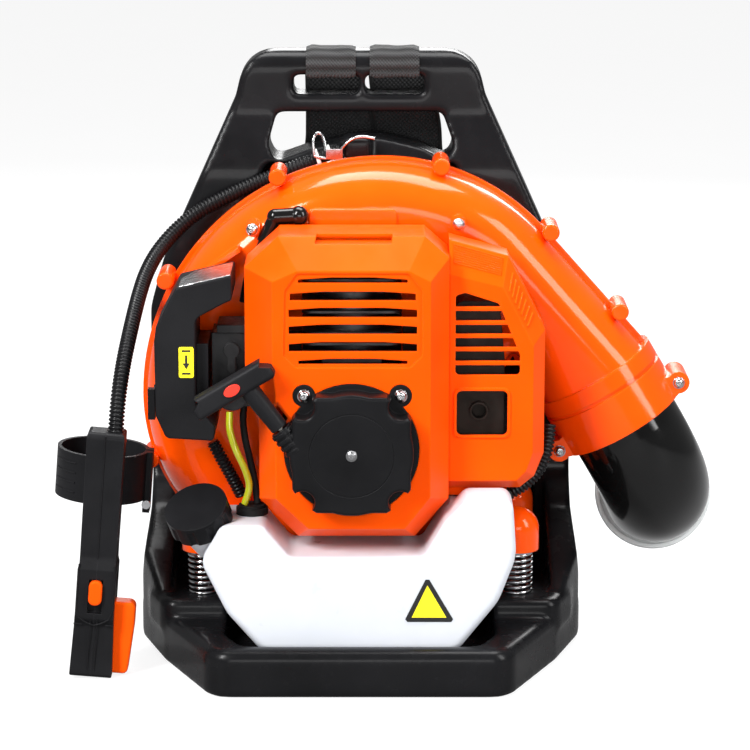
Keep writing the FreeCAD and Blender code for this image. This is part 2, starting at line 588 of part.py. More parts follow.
# ---------------------------------------------------------------- air cleaner
def make_air_cleaner():
    outline = [(-135, 299, 3), (-150, 270, 4), (-151.5, 259, 4), (-151, 203, 4), (-143.5, 186, 5),
               (-108, 184, 3), (-107, 195, 3), (-121, 211, 6), (-121, 276, 8), (-101, 287, 4),
               (-94, 290, 3), (-94, 308.6, 2)]
    body = soften(plate_y(outline, -112, -48), 1.5, lambda c: c.y < -111.9)
    hollow = plate_y([(-133, 289, 4), (-147, 265, 6), (-148.5, 256, 4), (-148.5, 206, 4),
                      (-142, 189, 4), (-126, 192, 4), (-126, 266, 8)], -109, -51)
    body = body.cut(hollow)
    save("air_filter_cover", body)
    save("air_filter_base", box(-120.8, -112.2, -104, -52, 214, 256))
    save("air_filter_element", box(-146, -127, -102, -56, 206, 256))

    pivot = V(-151.7, -66, 210)
    lever = rod(pivot + V(-0.2, 0, 0), pivot + V(-3.4, 0, 0), 7)
    lever = lever.fuse(box(-155.1, -151.9, -100, -66, 205, 215))
    lever = lever.fuse(box(-157.2, -151.9, -106, -98, 199, 222))
    save("choke_lever", lever)


# ---------------------------------------------------------------- covers
def bevelled_cover(skirt, face, y_back, y_skirt, y_face):
    """Outline extruded from y_back to y_skirt, then drawn in to the front face."""
    prism = plate_y(skirt, y_skirt, y_back)
    low = Part.makePolygon([V(x, y_skirt, z) for x, z in skirt + skirt[:1]])
    high = Part.makePolygon([V(x, y_face, z) for x, z in face + face[:1]])
    return prism.fuse(Part.makeLoft([low, high], True, True))


def inset(points, distance):
    """Moves each side of a convex or concave outline inwards by the distance."""
    face = Part.Face(rounded_wire([(x, z, 0) for x, z in points], lambda p: V(p.x, 0, p.y)))
    count = len(points)
    result = []
    for i in range(count):
        before, here, after = points[i - 1], points[i], points[(i + 1) % count]
        lines = []
        for start, end in ((before, here), (here, after)):
            along = V(end[0] - start[0], end[1] - start[1], 0).normalize()
            normal = V(-along.y, along.x, 0)
            middle = V((start[0] + end[0]) / 2, 0, (start[1] + end[1]) / 2)
            probe = middle + V(normal.x * 0.1, 0, normal.y * 0.1)
            if not face.isInside(probe, 0.01, True):
                normal = normal * -1
            lines.append((V(start[0], start[1], 0) + normal * distance, along))
        (p, u), (q, w) = lines
        cross = u.x * w.y - u.y * w.x
        step = ((q.x - p.x) * w.y - (q.y - p.y) * w.x) / cross
        result.append((p.x + u.x * step, p.y + u.y * step))
    return result


ENGINE_SKIRT = [(-85, 313), (-60, 336), (48, 336), (66, 320), (66, 138), (41, 109), (-46, 109),
                (-75, 138), (-75, 216), (-85, 238)]
ENGINE_FACE = [(-64, 306), (-46, 314), (36, 314), (52, 306), (52, 144), (33, 120), (-38, 120),
               (-62, 143), (-62, 222), (-64, 240)]
GRILLE = [(-46, 312), (36, 312), (46, 299), (46, 251), (37, 242), (-47, 242), (-56, 251), (-55, 299)]
# Lower edge, upper edge and inset of each cooling slot.
SLOT_ROWS = [(305, 308.5, 8), (292, 298, 2), (279.5, 286, 1), (267, 273.5, 1), (254, 260.5, 1),
             (244.5, 248, 8)]


def make_engine_cover():
    outer = bevelled_cover(ENGINE_SKIRT, ENGINE_FACE, COVER_BACK, COVER_SKIRT, COVER_FRONT)
    inner = bevelled_cover(inset(ENGINE_SKIRT, COVER_WALL), inset(ENGINE_FACE, 1.2),
                           COVER_BACK + 1, COVER_SKIRT, COVER_FRONT + COVER_WALL)
    cover = outer.cut(inner)
    notch = plate_y([(-33, 331), (-31, 340), (25, 340), (23, 331)],
                    COVER_SKIRT - 20, COVER_SKIRT + 12)
    backing = plate_y([(-36, 327), (-36, 331), (28, 331), (28, 327)],
                      COVER_SKIRT - 6, COVER_SKIRT + 15)
    cover = cover.cut(notch).fuse(backing.common(outer))
    panel = plate_y([(x, z, 3) for x, z in GRILLE], COVER_FRONT - 1, COVER_FRONT + 2)
    backer = plate_y([(x, z, 3) for x, z in GRILLE], COVER_FRONT + 1.2, COVER_FRONT + 4)
    cover = cover.cut(panel).fuse(backer)
    for z0, z1, inside in SLOT_ROWS:
        x0, x1 = -53 + inside, 43 - inside
        slot = plate_y([(x0, z0), (x0, z1 - 1), (x0 + 24, z1 + 0.6), (x1 - 24, z1 + 0.6), (x1, z1 - 1),
                        (x1, z0)], COVER_FRONT - 3, COVER_FRONT + 8)
        cover = cover.cut(slot)
    well = disc(AXIS_X, AXIS_Z, 52.5, COVER_FRONT + 1, COVER_FRONT + 8)
    cover = cover.fuse(well)
    for x, z in STARTER_SCREWS:
        cover = cover.fuse(disc(x, z, 10.5, COVER_FRONT + 1, COVER_FRONT + 8))
        cover = cover.cut(disc(x, z, 8.5, COVER_FRONT - 2, COVER_FRONT + 12))
    cover = cover.cut(disc(AXIS_X, AXIS_Z, 50, COVER_FRONT - 2, COVER_FRONT + 12))
    # The rope guide leaves the starter through a side cut in the cover.
    out = V(-0.61, 0, 0.7924)
    mouth = V(AXIS_X, 0, AXIS_Z) - V(0.7924, 0, 0.61) * REEL_R
    cut = rod(V(mouth.x, -130, mouth.z), V(mouth.x, -130, mouth.z) + out * 62, 11)
    cover = cover.cut(cut)
    # Side openings for the carburettor and for the muffler's inlet.
    cover = cover.cut(box(-90, -60, -97, -52, 203, 268)).cut(box(60, 70, -87, -51, 241, 269))
    save("engine_cover", cover)


SIDE_SKIRT = [(66.3, 330), (110, 318), (138, 262), (138, 168), (131, 150), (120, 141), (66.3, 141)]
SIDE_FACE = [(66.3, 306), (106, 296), (129, 252), (129, 170), (124, 156), (117, 149), (66.3, 149)]


def make_side_cover():
    outer = bevelled_cover(SIDE_SKIRT, SIDE_FACE, COVER_BACK, -80, -92)
    inner_skirt = [(67.8, 327), (108, 315.5), (135.5, 261), (135.5, 169), (129, 152),
                   (119, 143.5), (67.8, 143.5)]
    inner_face = [(67.8, 304), (105, 294), (127.5, 251), (127.5, 171), (122.5, 157.5),
                  (116.5, 151), (67.8, 151)]
    inner = bevelled_cover(inner_skirt, inner_face, COVER_BACK + 1, -80, -89.5)
    cover = outer.cut(inner)
    vent = [(71, 290, 3), (78, 292, 3), (103, 284, 3), (119, 245, 4), (119, 230, 3), (71, 230, 3)]
    rows = (239, 249.5, 259.5, 269.5, 280)
    holes = plate_y(vent, -95, -86)
    for z in rows:
        holes = holes.cut(box(60, 130, -96, -85, z - 1.6, z + 1.6))
    cover = cover.cut(holes)
    cover = cover.cut(plate_y([(72, 184, 4), (72, 218, 4), (110, 218, 4), (110, 184, 4)], -96, -85))
    frame = plate_y([(70, 182, 5), (70, 220, 5), (112, 220, 5), (112, 182, 5)], -93.2, -91).cut(
        plate_y([(72, 184, 4), (72, 218, 4), (110, 218, 4), (110, 184, 4)], -96, -85))
    cover = cover.fuse(frame)
    for i in range(9):
        z = 325 - i * 2.1
        rib = box(70, 104, -86, -80, z - 0.5, z + 0.5)
        cover = cover.fuse(turned(rib, V(70, -84, 325), V(0, 1, 0), 13).common(outer))
    # Lower strip behind the tank's shoulder.
    cover = cover.fuse(box(66.3, 106, -76, COVER_BACK, 134, 143))
    cover = cover.cut(box(66, 70, -87, -51, 241, 269))
    save("side_cover", cover)


# ---------------------------------------------------------------- recoil starter
def make_starter():
    side = 43.5
    dome = disc(AXIS_X, AXIS_Z, 50.5, STARTER_FRONT, -124.2).common(
        box(AXIS_X - side, AXIS_X + side, -150, -110, AXIS_Z - side, AXIS_Z + side))
    bulge = disc(AXIS_X, AXIS_Z, 45.5, STARTER_FRONT, -124.2)
    dome = dome.fuse(bulge)
    for a in (45, 135, 225, 315):
        x = AXIS_X + 51 * math.cos(math.radians(a))
        z = AXIS_Z + 51 * math.sin(math.radians(a))
        dome = dome.cut(disc(x, z, 9, -150, -124.2))
    dome = soften(dome, 2.5, lambda c: c.y < STARTER_FRONT + 0.1)
    plate = disc(AXIS_X, AXIS_Z, 49.6, -124.2, STARTER_BACK)
    for x, z in STARTER_SCREWS:
        plate = plate.fuse(disc(x, z, 8.1, -124.2, STARTER_BACK))
        plate = plate.fuse(rod(V(x, -121.6, z), V(AXIS_X, -121.6, AXIS_Z), 2.4))
    shell = dome.fuse(plate)
    groove = disc(AXIS_X, AXIS_Z, 31.4, -150, STARTER_FRONT + 0.5).cut(disc(AXIS_X, AXIS_Z, 30.8, -151, -140))
    shell = shell.cut(groove)
    # Ribbed rope guide at the reel's tangent.
    tangent = V(AXIS_X, REEL_PLANE, AXIS_Z) - V(0.7924, 0, 0.61) * REEL_R
    guide = rod(tangent + ROPE_DIR * 20, tangent + ROPE_DIR * 46, 8.2)
    for i in range(4):
        at = tangent + ROPE_DIR * (27 + i * 5)
        guide = guide.fuse(rod(at, at + ROPE_DIR * 2.4, 9.4))
    shell = shell.fuse(guide).cut(rod(tangent + ROPE_DIR * 8, tangent + ROPE_DIR * 60, 3.2))
    shell = shell.cut(disc(AXIS_X, AXIS_Z, 39, STARTER_FRONT + 2.5, STARTER_BACK + 1))
    shell = shell.fuse(disc(AXIS_X, AXIS_Z, 5, STARTER_FRONT + 1, -127))
    save("starter_housing", shell)

    reel = disc(AXIS_X, AXIS_Z, 35, REEL_PLANE - 5, REEL_PLANE + 5)
    reel = reel.cut(disc(AXIS_X, AXIS_Z, 40, REEL_PLANE - 2.6, REEL_PLANE + 2.6).cut(
        disc(AXIS_X, AXIS_Z, REEL_R - 2, REEL_PLANE - 3, REEL_PLANE + 3)))
    save("starter_reel", reel.cut(disc(AXIS_X, AXIS_Z, 5 + FIT, REEL_PLANE - 6, REEL_PLANE + 6)))

    knot = tangent + ROPE_DIR * 47
    rope = rod(tangent + ROPE_DIR * 22, knot + ROPE_DIR * 12, 2.0)
    save("starter_rope", rope)

    stem = Part.makeCone(6.6, 7.6, 44, knot + ROPE_DIR * 0.6, ROPE_DIR)
    grip_dir = V(0.857, 0, 0.515).normalize()
    grip_mid = knot + ROPE_DIR * 44 - grip_dir * 9
    grip = box(-33, 33, -9, 9, -8, 8)
    grip = soften(grip, 3.4, lambda c: abs(c.x) < 33.5)
    for end in (-1, 1):
        bevel = box(min(end * 26, end * 46), max(end * 26, end * 46), -12, 12, 0, 16)
        grip = grip.cut(turned(bevel, V(end * 33, 0, 3), V(0, 1, 0), end * 34))
    grip = turned(grip, V(0, 0, 0), V(0, 1, 0), -math.degrees(math.atan2(grip_dir.z, grip_dir.x)))
    grip.translate(grip_mid)
    handle = grip.fuse(stem)
    handle = handle.cut(rod(knot, knot + ROPE_DIR * 12, 2.0))
    save("starter_handle", handle)
    insert = Part.makeCylinder(6.5, 1.2, V(0, 0, 0), V(0, -1, 0))
    stretch = FreeCAD.Matrix(1.0, 0, 0, 0, 0, 1, 0, 0, 0, 0, 0.62, 0)
    insert = insert.transformGeometry(stretch)
    insert = turned(insert, V(0, 0, 0), V(0, 1, 0), -31)
    insert.translate(grip_mid + V(0, -9, 0))
    save("handle_insert", insert)

    save_set("starter_screws", [disc(x, z, 4.6, -128, -124.2) for x, z in STARTER_SCREWS])


# ---------------------------------------------------------------- fuel system
def make_tank():
    outline = [(-73, TANK_FLOOR, 16), (72, TANK_FLOOR, 16), (103, 66, 40), (116, 100, 40), (113, 144, 9),
               (79, 144, 9), (62, 126, 6), (47, 100, 8), (-52, 100, 8), (-72, 124, 8), (-104, 124, 8),
               (-118, 96, 14), (-99, 57, 40)]
    body = plate_y(outline, TANK_FRONT, TANK_BACK)
    body = soften(body, 6, lambda c: c.y < TANK_FRONT + 0.1 or c.y > TANK_BACK - 0.1)
    # Shoulder under the engine cover's lower edge and clear of the front springs' feet.
    body = body.cut(box(104, 140, -66, -20, 70, 150)).cut(box(-140, -100, -66, -20, 70, 118))
    body = body.cut(box(60, 125, -93.6, -40, 132, 150))
    cap_low = CAP_MID - CAP_AIM * (CAP_HIGH / 2)
    body = body.cut(rod(cap_low - CAP_AIM, cap_low + CAP_AIM * 40, CAP_R + 1))
    neck = rod(cap_low - CAP_AIM, cap_low + CAP_AIM * 10, NECK_R)
    funnel = Part.makeCone(12, NECK_R, 26, cap_low - CAP_AIM * 27, CAP_AIM)
    body = body.fuse([neck, funnel])
    save("fuel_tank", body)

    cap = rod(cap_low, cap_low + CAP_AIM * CAP_HIGH, CAP_R)
    side = V(0, 1, 0).cross(CAP_AIM).normalize()
    for i in range(10):
        spot = turned(Part.Vertex(cap_low + side * (CAP_R + 3.2)), cap_low, CAP_AIM, i * 36).Point
        cap = cap.cut(rod(spot - CAP_AIM, spot + CAP_AIM * (CAP_HIGH - 3), 4.6))
    cap = cap.cut(rod(cap_low - CAP_AIM, cap_low + CAP_AIM * 11, NECK_R + 0.3))
    save("fuel_cap", cap)

    middle = V(-81, -92, 124)
    grommet = Part.makeCylinder(12, 5, middle).fuse(Part.makeCylinder(10, 7, middle))
    save("tank_grommet", grommet.cut(body))
    fuel = [V(-86.5, -95, 132), V(-82, -97, 146), V(-85.5, -101, 160), V(-92.5, -102, 175),
            V(-97.5, -97, 189), V(-97, -95, 202.6)]
    save("fuel_hose", tube("fuel_hose", fuel, HOSE_R))
    back = [V(-77, -92, 132), V(-78.5, -92, 147), V(-82, -90, 163), V(-86, -86, 179),
            V(-88, -81, 192), V(-87, -79, 204.8)]
    save("return_hose", tube("return_hose", back, HOSE_R))
    left = [V(-91, -45, 126), V(-96, -47.5, 137), V(-101.5, -49, 148), V(-107, -49.5, 158),
            V(-112.3, -49, 169)]
    save("left_conduit", tube("left_conduit", left, 5))
    right = [V(108, -52, 126), V(118, -52, 131), V(129, -52, 139), V(138, -51, 150), V(143.5, -48, 165),
             V(144.5, -43, 181)]
    save("right_conduit", tube("right_conduit", right, 5))


# ---------------------------------------------------------------- throttle handle
def stand(shape):
    """Handle pieces are drawn upright at the origin, then leant and put in place."""
    placed = turned(shape, V(0, 0, 0), V(0, 1, 0), HANDLE_LEAN)
    placed.translate(HANDLE_FOOT)
    return placed


def make_control_handle():
    half_wide, half_deep = HANDLE_WIDE / 2, HANDLE_DEEP / 2
    body = plate_x([(-half_deep, 0, 3), (half_deep, 0, 3), (half_deep, 84, 10),
                    (half_deep - 3, 100, 20), (half_deep - 3, HANDLE_HIGH, 5),
                    (-half_deep + 3, HANDLE_HIGH, 5), (-half_deep + 3, 92, 12), (-half_deep, 84, 4),
                    (-half_deep, 46, 2), (-half_deep + 2, 40, 3)], -20, 20)
    front = plate_y([(-16, 0, 2), (16, 0, 2), (half_wide, 50, 20), (half_wide, 84, 3), (half_wide - 1, 88, 3),
                     (half_wide - 0.5, HANDLE_HIGH, 3), (-half_wide + 0.5, HANDLE_HIGH, 3),
                     (-half_wide + 1, 88, 3), (-half_wide, 84, 3), (-half_wide, 50, 20)], -20, 20)
    body = body.common(front)
    switch_pocket = box(-5.4, 5.4, -17, -11, 50, 76.4)
    trigger_pocket = box(2, 20, -8.2, 8.2, -1, 60)
    body = body.cut(switch_pocket).cut(trigger_pocket)
    ring_mid = V(RING_SHIFT, half_deep - 3 + RING_R - 1.5, 0)
    ring = Part.makeCylinder(RING_R, RING_HIGH, V(ring_mid.x, ring_mid.y, RING_LOW), V(0, 0, 1))
    bore = Part.makeCylinder(RING_BORE, 80, V(ring_mid.x, ring_mid.y, 110), V(0, 0, 1))
    tube_room = Part.makeCylinder(RING_BORE + 0.4, 240, V(ring_mid.x, ring_mid.y, -10))
    body = body.cut(ring).cut(tube_room)
    save("handle_left_shell", stand(body.common(box(-40, 0, -40, 40, -5, 200))).cut(
        rod(CORD_ROUTE[0], CORD_ROUTE[1], CORD_R + 0.1)))
    aim = (CORD_ROUTE[1] - CORD_ROUTE[0]).normalize()
    entry = rod(CORD_ROUTE[0] - aim * 0.2, CORD_ROUTE[0] + aim * 20, CORD_R + 0.1)
    save("handle_right_shell", stand(body.common(box(0, 40, -40, 40, -5, 200))).cut(entry))

    split = box(ring_mid.x + 20, ring_mid.x + 60, ring_mid.y - 2, ring_mid.y + 2, 120, 170)
    ears = box(ring_mid.x + RING_BORE + 0.6, ring_mid.x + 38, ring_mid.y - 9, ring_mid.y + 9,
               RING_LOW - 10, RING_LOW + RING_HIGH)
    clamp = ring.fuse(ears).cut(bore).cut(split)
    screw_x = ring_mid.x + 35.5
    screw_z = RING_LOW - 3
    near_side, far_side = V(screw_x, ring_mid.y - 12.5, screw_z), V(screw_x, ring_mid.y + 9, screw_z)
    head = rod(near_side, near_side + V(0, 3.5, 0), 3.4)
    shank = rod(near_side, far_side, 1.6)
    clamp = clamp.cut(rod(near_side, far_side + V(0, 3, 0), 1.7))
    save("tube_clamp_ring", stand(clamp))
    save("clamp_screw", stand(shank.fuse(head)))

    trigger = plate_y([(13, 2, 3), (27, 2, 4), (30, 40, 30), (30, 58, 5), (13, 58, 2)], -7.4, 7.4)
    trigger = soften(trigger, 2, lambda c: c.x > 26 and abs(c.y) > 7)
    save("throttle_trigger", stand(trigger))
    switch = box(-5, 5, -19.5, -11.6, 57, 76)
    save("stop_switch", stand(soften(switch, 2, lambda c: c.y < -19)))


CORD_ROUTE = [V(-182.5, -101, 172), V(-181.5, -97.5, 196), V(-179.5, -88.5, 218.5), V(-177, -73.5, 237),
              V(-174, -55.5, 253), V(-171.5, -35.5, 266), V(-169, -14, 277.5), V(-165.5, 7, 289),
              V(-158.5, 26.5, 301.5), V(-146, 41, 315.5), V(-129, 49.5, 329.5), V(-106.5, 53, 341),
              V(-84.5, 55, 351), V(-62, 56.5, 360), V(-39.5, 58, 368.5), V(-16.5, 60, 376.5)]


def make_cord():
    save("control_conduit", tube("control_conduit", CORD_ROUTE, CORD_R))
    ties = []
    aim = (CORD_ROUTE[-1] - CORD_ROUTE[-2]).normalize()
    for distance in (5, 15):
        start = CORD_ROUTE[-2] + aim * distance
        band = rod(start, start + aim * 3, CORD_R + 2)
        ties.append(band.cut(rod(start - aim, start + aim * 4, CORD_R + 0.3)))
    save_set("cable_ties", ties)
    wire = [V(11, 47.5, 388), V(4, 47.5, 389.5), V(-4, 47.5, 388), V(-10, 47.5, 383), V(-15, 47.5, 376)]
    save("wire_clip", tube("wire_clip", wire, 1.3))


make_frame()
make_back_pad()
make_straps()
make_springs()
make_fan_case()
make_elbow()
make_engine()
make_rotor()
make_air_cleaner()
make_engine_cover()
make_side_cover()
make_starter()
make_tank()
make_control_handle()
make_cord()
print(len(made), "pieces")
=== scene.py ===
"""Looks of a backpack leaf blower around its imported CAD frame. Metres, +Z up, engine side at -Y."""
import math
import random

import bmesh
import bpy
from mathutils import Matrix, Vector, noise


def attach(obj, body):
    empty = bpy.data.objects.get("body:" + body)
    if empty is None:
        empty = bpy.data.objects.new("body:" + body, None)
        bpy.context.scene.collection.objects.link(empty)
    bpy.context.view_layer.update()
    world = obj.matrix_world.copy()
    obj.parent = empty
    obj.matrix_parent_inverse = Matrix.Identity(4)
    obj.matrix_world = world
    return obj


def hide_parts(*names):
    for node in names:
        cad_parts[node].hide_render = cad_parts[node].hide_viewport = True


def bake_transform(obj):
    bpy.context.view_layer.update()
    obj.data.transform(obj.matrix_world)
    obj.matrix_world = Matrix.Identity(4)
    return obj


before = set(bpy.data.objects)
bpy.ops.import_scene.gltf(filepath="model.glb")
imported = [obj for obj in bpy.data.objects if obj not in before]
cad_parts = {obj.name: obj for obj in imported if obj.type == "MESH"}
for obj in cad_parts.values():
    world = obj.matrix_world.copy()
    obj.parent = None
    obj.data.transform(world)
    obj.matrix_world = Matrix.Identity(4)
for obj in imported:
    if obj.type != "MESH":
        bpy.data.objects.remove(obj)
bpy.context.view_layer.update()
random.seed(7)
MM = 0.001
UP = Vector((0, 0, 1))
SIDES = (("left", -1), ("right", 1))


def mm(x, y, z):
    return Vector((x, y, z)) * MM


# ---------------------------------------------------------------- camera, light and stage
AIM = mm(11.19, 0, 210.38)
CAMERA_FAR, CAMERA_RISE = 2.4, math.radians(12)
LENS, SENSOR = 148.8, 36.0


def aim_at(thing, target):
    thing.rotation_euler = (target - thing.location).to_track_quat("-Z", "Y").to_euler()


def make_camera():
    data = bpy.data.cameras.new("camera")
    data.lens = LENS
    data.sensor_width = SENSOR
    data.clip_end = 50
    camera = bpy.data.objects.new("camera", data)
    bpy.context.scene.collection.objects.link(camera)
    camera.location = AIM + Vector((0, -math.cos(CAMERA_RISE), math.sin(CAMERA_RISE))) * CAMERA_FAR
    aim_at(camera, AIM)
    bpy.context.scene.camera = camera


# Name, place, size and power of each area light.
LIGHTS = (
    ("key_left", (-1.3, -1.5, 1.7), (0.5, 1.2), 92),
    ("fill_right", (1.6, -1.1, 1.2), (0.6, 1.4), 34),
    ("top", (0.1, 0.2, 2.0), (1.5, 0.8), 52),
    ("low_front", (0.2, -2.2, 0.5), (1.4, 0.5), 15),
    ("rear", (0.4, 1.9, 1.2), (1.4, 1.0), 32),
)
WORLD_LIT, WORLD_SEEN = 0.25, 1.0
FLOOR_SIZE, FLOOR_LOW, FLOOR_HIGH = 12, (0.15, 0.15, 0.152), (0.17, 0.17, 0.172)
FLOOR_LIT, FLOOR_SEEN = 0.15, 0.86


def area_light(name, place, size, power):
    data = bpy.data.lights.new(name, "AREA")
    data.shape = "RECTANGLE"
    data.size, data.size_y = size
    data.energy = power
    lamp = bpy.data.objects.new(name, data)
    bpy.context.scene.collection.objects.link(lamp)
    lamp.location = place
    aim_at(lamp, AIM)


def make_stage():
    scene = bpy.context.scene
    scene.view_settings.view_transform = "Standard"
    world = bpy.data.worlds.new("studio")
    scene.world = world
    world.use_nodes = True
    tree = world.node_tree
    back = tree.nodes["Background"]
    ray = tree.nodes.new("ShaderNodeLightPath")
    level = tree.nodes.new("ShaderNodeMapRange")
    level.inputs["To Min"].default_value = WORLD_LIT
    level.inputs["To Max"].default_value = WORLD_SEEN
    tree.links.new(ray.outputs["Is Camera Ray"], level.inputs["Value"])
    tree.links.new(level.outputs["Result"], back.inputs["Strength"])
    back.inputs["Color"].default_value = (1, 1, 1, 1)

    for name, place, size, power in LIGHTS:
        area_light(name, Vector(place), size, power)

    bpy.ops.mesh.primitive_plane_add(size=FLOOR_SIZE)
    floor = bpy.context.object
    floor.name = "floor"
    made, tree, shader = material("floor_paper")
    tint = blend_colours(tree, noise_of(tree, None, 60.0, 3.0), FLOOR_LOW, FLOOR_HIGH)
    tree.links.new(tint, shader.inputs["Base Color"])
    shader.inputs["Roughness"].default_value = 0.6
    shader.inputs["Specular IOR Level"].default_value = 0.2
    shader.inputs["Emission Color"].default_value = (1, 1, 1, 1)
    seen = node(tree, "ShaderNodeLightPath").outputs["Is Camera Ray"]
    glow = ranged(tree, seen, FLOOR_LIT, FLOOR_SEEN)
    tree.links.new(glow, shader.inputs["Emission Strength"])
    floor.data.materials.append(made)


# ---------------------------------------------------------------- materials
def material(name):
    made = bpy.data.materials.new(name)
    made.use_nodes = True
    return made, made.node_tree, made.node_tree.nodes["Principled BSDF"]


def node(tree, kind, inputs=None, **settings):
    made = tree.nodes.new(kind)
    for key, value in settings.items():
        setattr(made, key, value)
    for key, value in (inputs or {}).items():
        if isinstance(value, bpy.types.NodeSocket):
            tree.links.new(value, made.inputs[key])
        else:
            made.inputs[key].default_value = value
    return made


def blend_colours(tree, factor, low, high):
    mixer = tree.nodes.new("ShaderNodeMix")
    mixer.data_type = "RGBA"
    tree.links.new(factor, mixer.inputs[0])
    for index, colour in ((6, low), (7, high)):
        if isinstance(colour, bpy.types.NodeSocket):
            tree.links.new(colour, mixer.inputs[index])
        else:
            mixer.inputs[index].default_value = (*colour, 1)
    return mixer.outputs[2]


def ranged(tree, value, low, high, from_low=0.0, from_high=1.0):
    inputs = {"Value": value, "From Min": from_low, "From Max": from_high,
              "To Min": low, "To Max": high}
    return node(tree, "ShaderNodeMapRange", inputs).outputs["Result"]


def maths(tree, operation, *values):
    made = node(tree, "ShaderNodeMath", dict(enumerate(values)), operation=operation)
    return made.outputs[0]


def noise_of(tree, place, scale, detail):
    """Noise value, read at the given coordinates or at the shader's own."""
    inputs = {"Scale": scale, "Detail": detail}
    if place:
        inputs["Vector"] = place
    return node(tree, "ShaderNodeTexNoise", inputs).outputs["Fac"]


def edge_mask(tree, radius):
    """Bevelled normal, and a mask that is 1 on edges."""
    bevel = node(tree, "ShaderNodeBevel", {"Radius": radius}, samples=4)
    true = node(tree, "ShaderNodeNewGeometry")
    normals = {0: bevel.outputs["Normal"], 1: true.outputs["Normal"]}
    dot = node(tree, "ShaderNodeVectorMath", normals, operation="DOT_PRODUCT")
    return bevel.outputs["Normal"], ranged(tree, dot.outputs["Value"], 1.0, 0.0, 0.80, 0.995)


def moulded(name, low, high, rough, grain=900.0, bump=0.15, edge=None, edge_share=0.5,
            radius=0.0012, coat=0.0, specular=0.3, metallic=0.0, broad=14.0, depth=0.0002,
            subsurface=0.0, tint=None):
    """A moulded, cast or painted surface: broad tint, fine grain, softened edges, and an edge colour
    that is painted highlight on the orange and tank rims and worn grey scuffs on the black parts.
    """
    made, tree, shader = material(name)
    place = node(tree, "ShaderNodeTexCoord").outputs["Object"]
    cloud = noise_of(tree, place, broad, 5.0)
    fine = noise_of(tree, place, grain, 3.0)
    colour = blend_colours(tree, ranged(tree, cloud, 0.0, 1.0, 0.3, 0.7), low, high)
    soft_normal, mask = edge_mask(tree, radius)
    # Edge colour: painted highlight on the orange and tank rims, worn grey scuffs on black parts.
    if edge:
        colour = blend_colours(tree, maths(tree, "MULTIPLY", mask, edge_share), colour, edge)
    tree.links.new(colour, shader.inputs["Base Color"])
    smudge = noise_of(tree, place, broad * 4, 6.0)
    tree.links.new(ranged(tree, smudge, rough * 0.82, rough * 1.22, 0.3, 0.7),
                   shader.inputs["Roughness"])
    relief = node(tree, "ShaderNodeBump", {"Height": fine, "Strength": bump,
                                           "Distance": depth, "Normal": soft_normal})
    tree.links.new(relief.outputs["Normal"], shader.inputs["Normal"])
    shader.inputs["Coat Weight"].default_value = coat
    shader.inputs["Coat Roughness"].default_value = 0.08
    shader.inputs["Specular IOR Level"].default_value = specular
    shader.inputs["Metallic"].default_value = metallic
    if tint:
        shader.inputs["Specular Tint"].default_value = (*tint, 1)
    if subsurface:
        shader.inputs["Subsurface Weight"].default_value = subsurface
        shader.inputs["Subsurface Radius"].default_value = (0.012, 0.012, 0.014)
        shader.inputs["Subsurface Scale"].default_value = 1.0
    return made


def brushed(name, low, high, rough, stretch=(40.0, 40.0, 900.0), metallic=1.0):
    """Metal with streaks along one direction."""
    made, tree, shader = material(name)
    place = node(tree, "ShaderNodeTexCoord").outputs["Object"]
    along = node(tree, "ShaderNodeVectorMath", {0: place, 1: stretch}, operation="MULTIPLY")
    streak = noise_of(tree, along.outputs[0], 1.0, 4.0)
    tree.links.new(blend_colours(tree, streak, low, high), shader.inputs["Base Color"])
    tree.links.new(ranged(tree, streak, rough * 0.7, rough * 1.4), shader.inputs["Roughness"])
    soft_normal, _ = edge_mask(tree, 0.0006)
    relief = node(tree, "ShaderNodeBump", {"Height": streak, "Strength": 0.08,
                                           "Distance": 0.0002, "Normal": soft_normal})
    tree.links.new(relief.outputs["Normal"], shader.inputs["Normal"])
    shader.inputs["Metallic"].default_value = metallic
    return made


def woven(name, low, high, pitch, depth, rough=0.85, ribs=0.0, sheen=0.25, uv=True):
    """Basket weave from two crossed waves, in the piece's UVs (metres) or in X and Z."""
    made, tree, shader = material(name)
    coords = node(tree, "ShaderNodeTexCoord")
    place = coords.outputs["UV" if uv else "Object"]
    parts = node(tree, "ShaderNodeSeparateXYZ", {0: place})
    turns = []
    for axis in ("X", "Y" if uv else "Z"):
        scaled = maths(tree, "MULTIPLY", parts.outputs[axis], math.tau / pitch)
        turns.append(maths(tree, "SINE", scaled))
    height = ranged(tree, maths(tree, "MULTIPLY", *turns), 0.0, 1.0, -1.0, 1.0)
    if ribs:
        wide = maths(tree, "MULTIPLY", parts.outputs["X"], math.tau / ribs)
        height = maths(tree, "ADD", height, maths(tree, "SINE", wide))
    fuzz = noise_of(tree, coords.outputs["Object"], 2600.0, 2.0)
    cloud = noise_of(tree, coords.outputs["Object"], 45.0, 4.0)
    # Colour follows the weave's height: darker in the low parts as painted shade in the weave's
    # hollows.
    base = blend_colours(tree, ranged(tree, height, 0.0, 1.0, 0.1, 0.9), low, high)
    shade = blend_colours(tree, ranged(tree, cloud, 0.0, 0.35, 0.35, 0.7), base, high)
    tree.links.new(shade, shader.inputs["Base Color"])
    total = maths(tree, "MULTIPLY_ADD", fuzz, 0.35, height)
    relief = node(tree, "ShaderNodeBump", {"Height": total, "Strength": 0.9, "Distance": depth})
    tree.links.new(relief.outputs["Normal"], shader.inputs["Normal"])
    tree.links.new(ranged(tree, fuzz, rough - 0.08, rough + 0.08), shader.inputs["Roughness"])
    shader.inputs["Sheen Weight"].default_value = sheen
    shader.inputs["Sheen Roughness"].default_value = 0.45
    return made


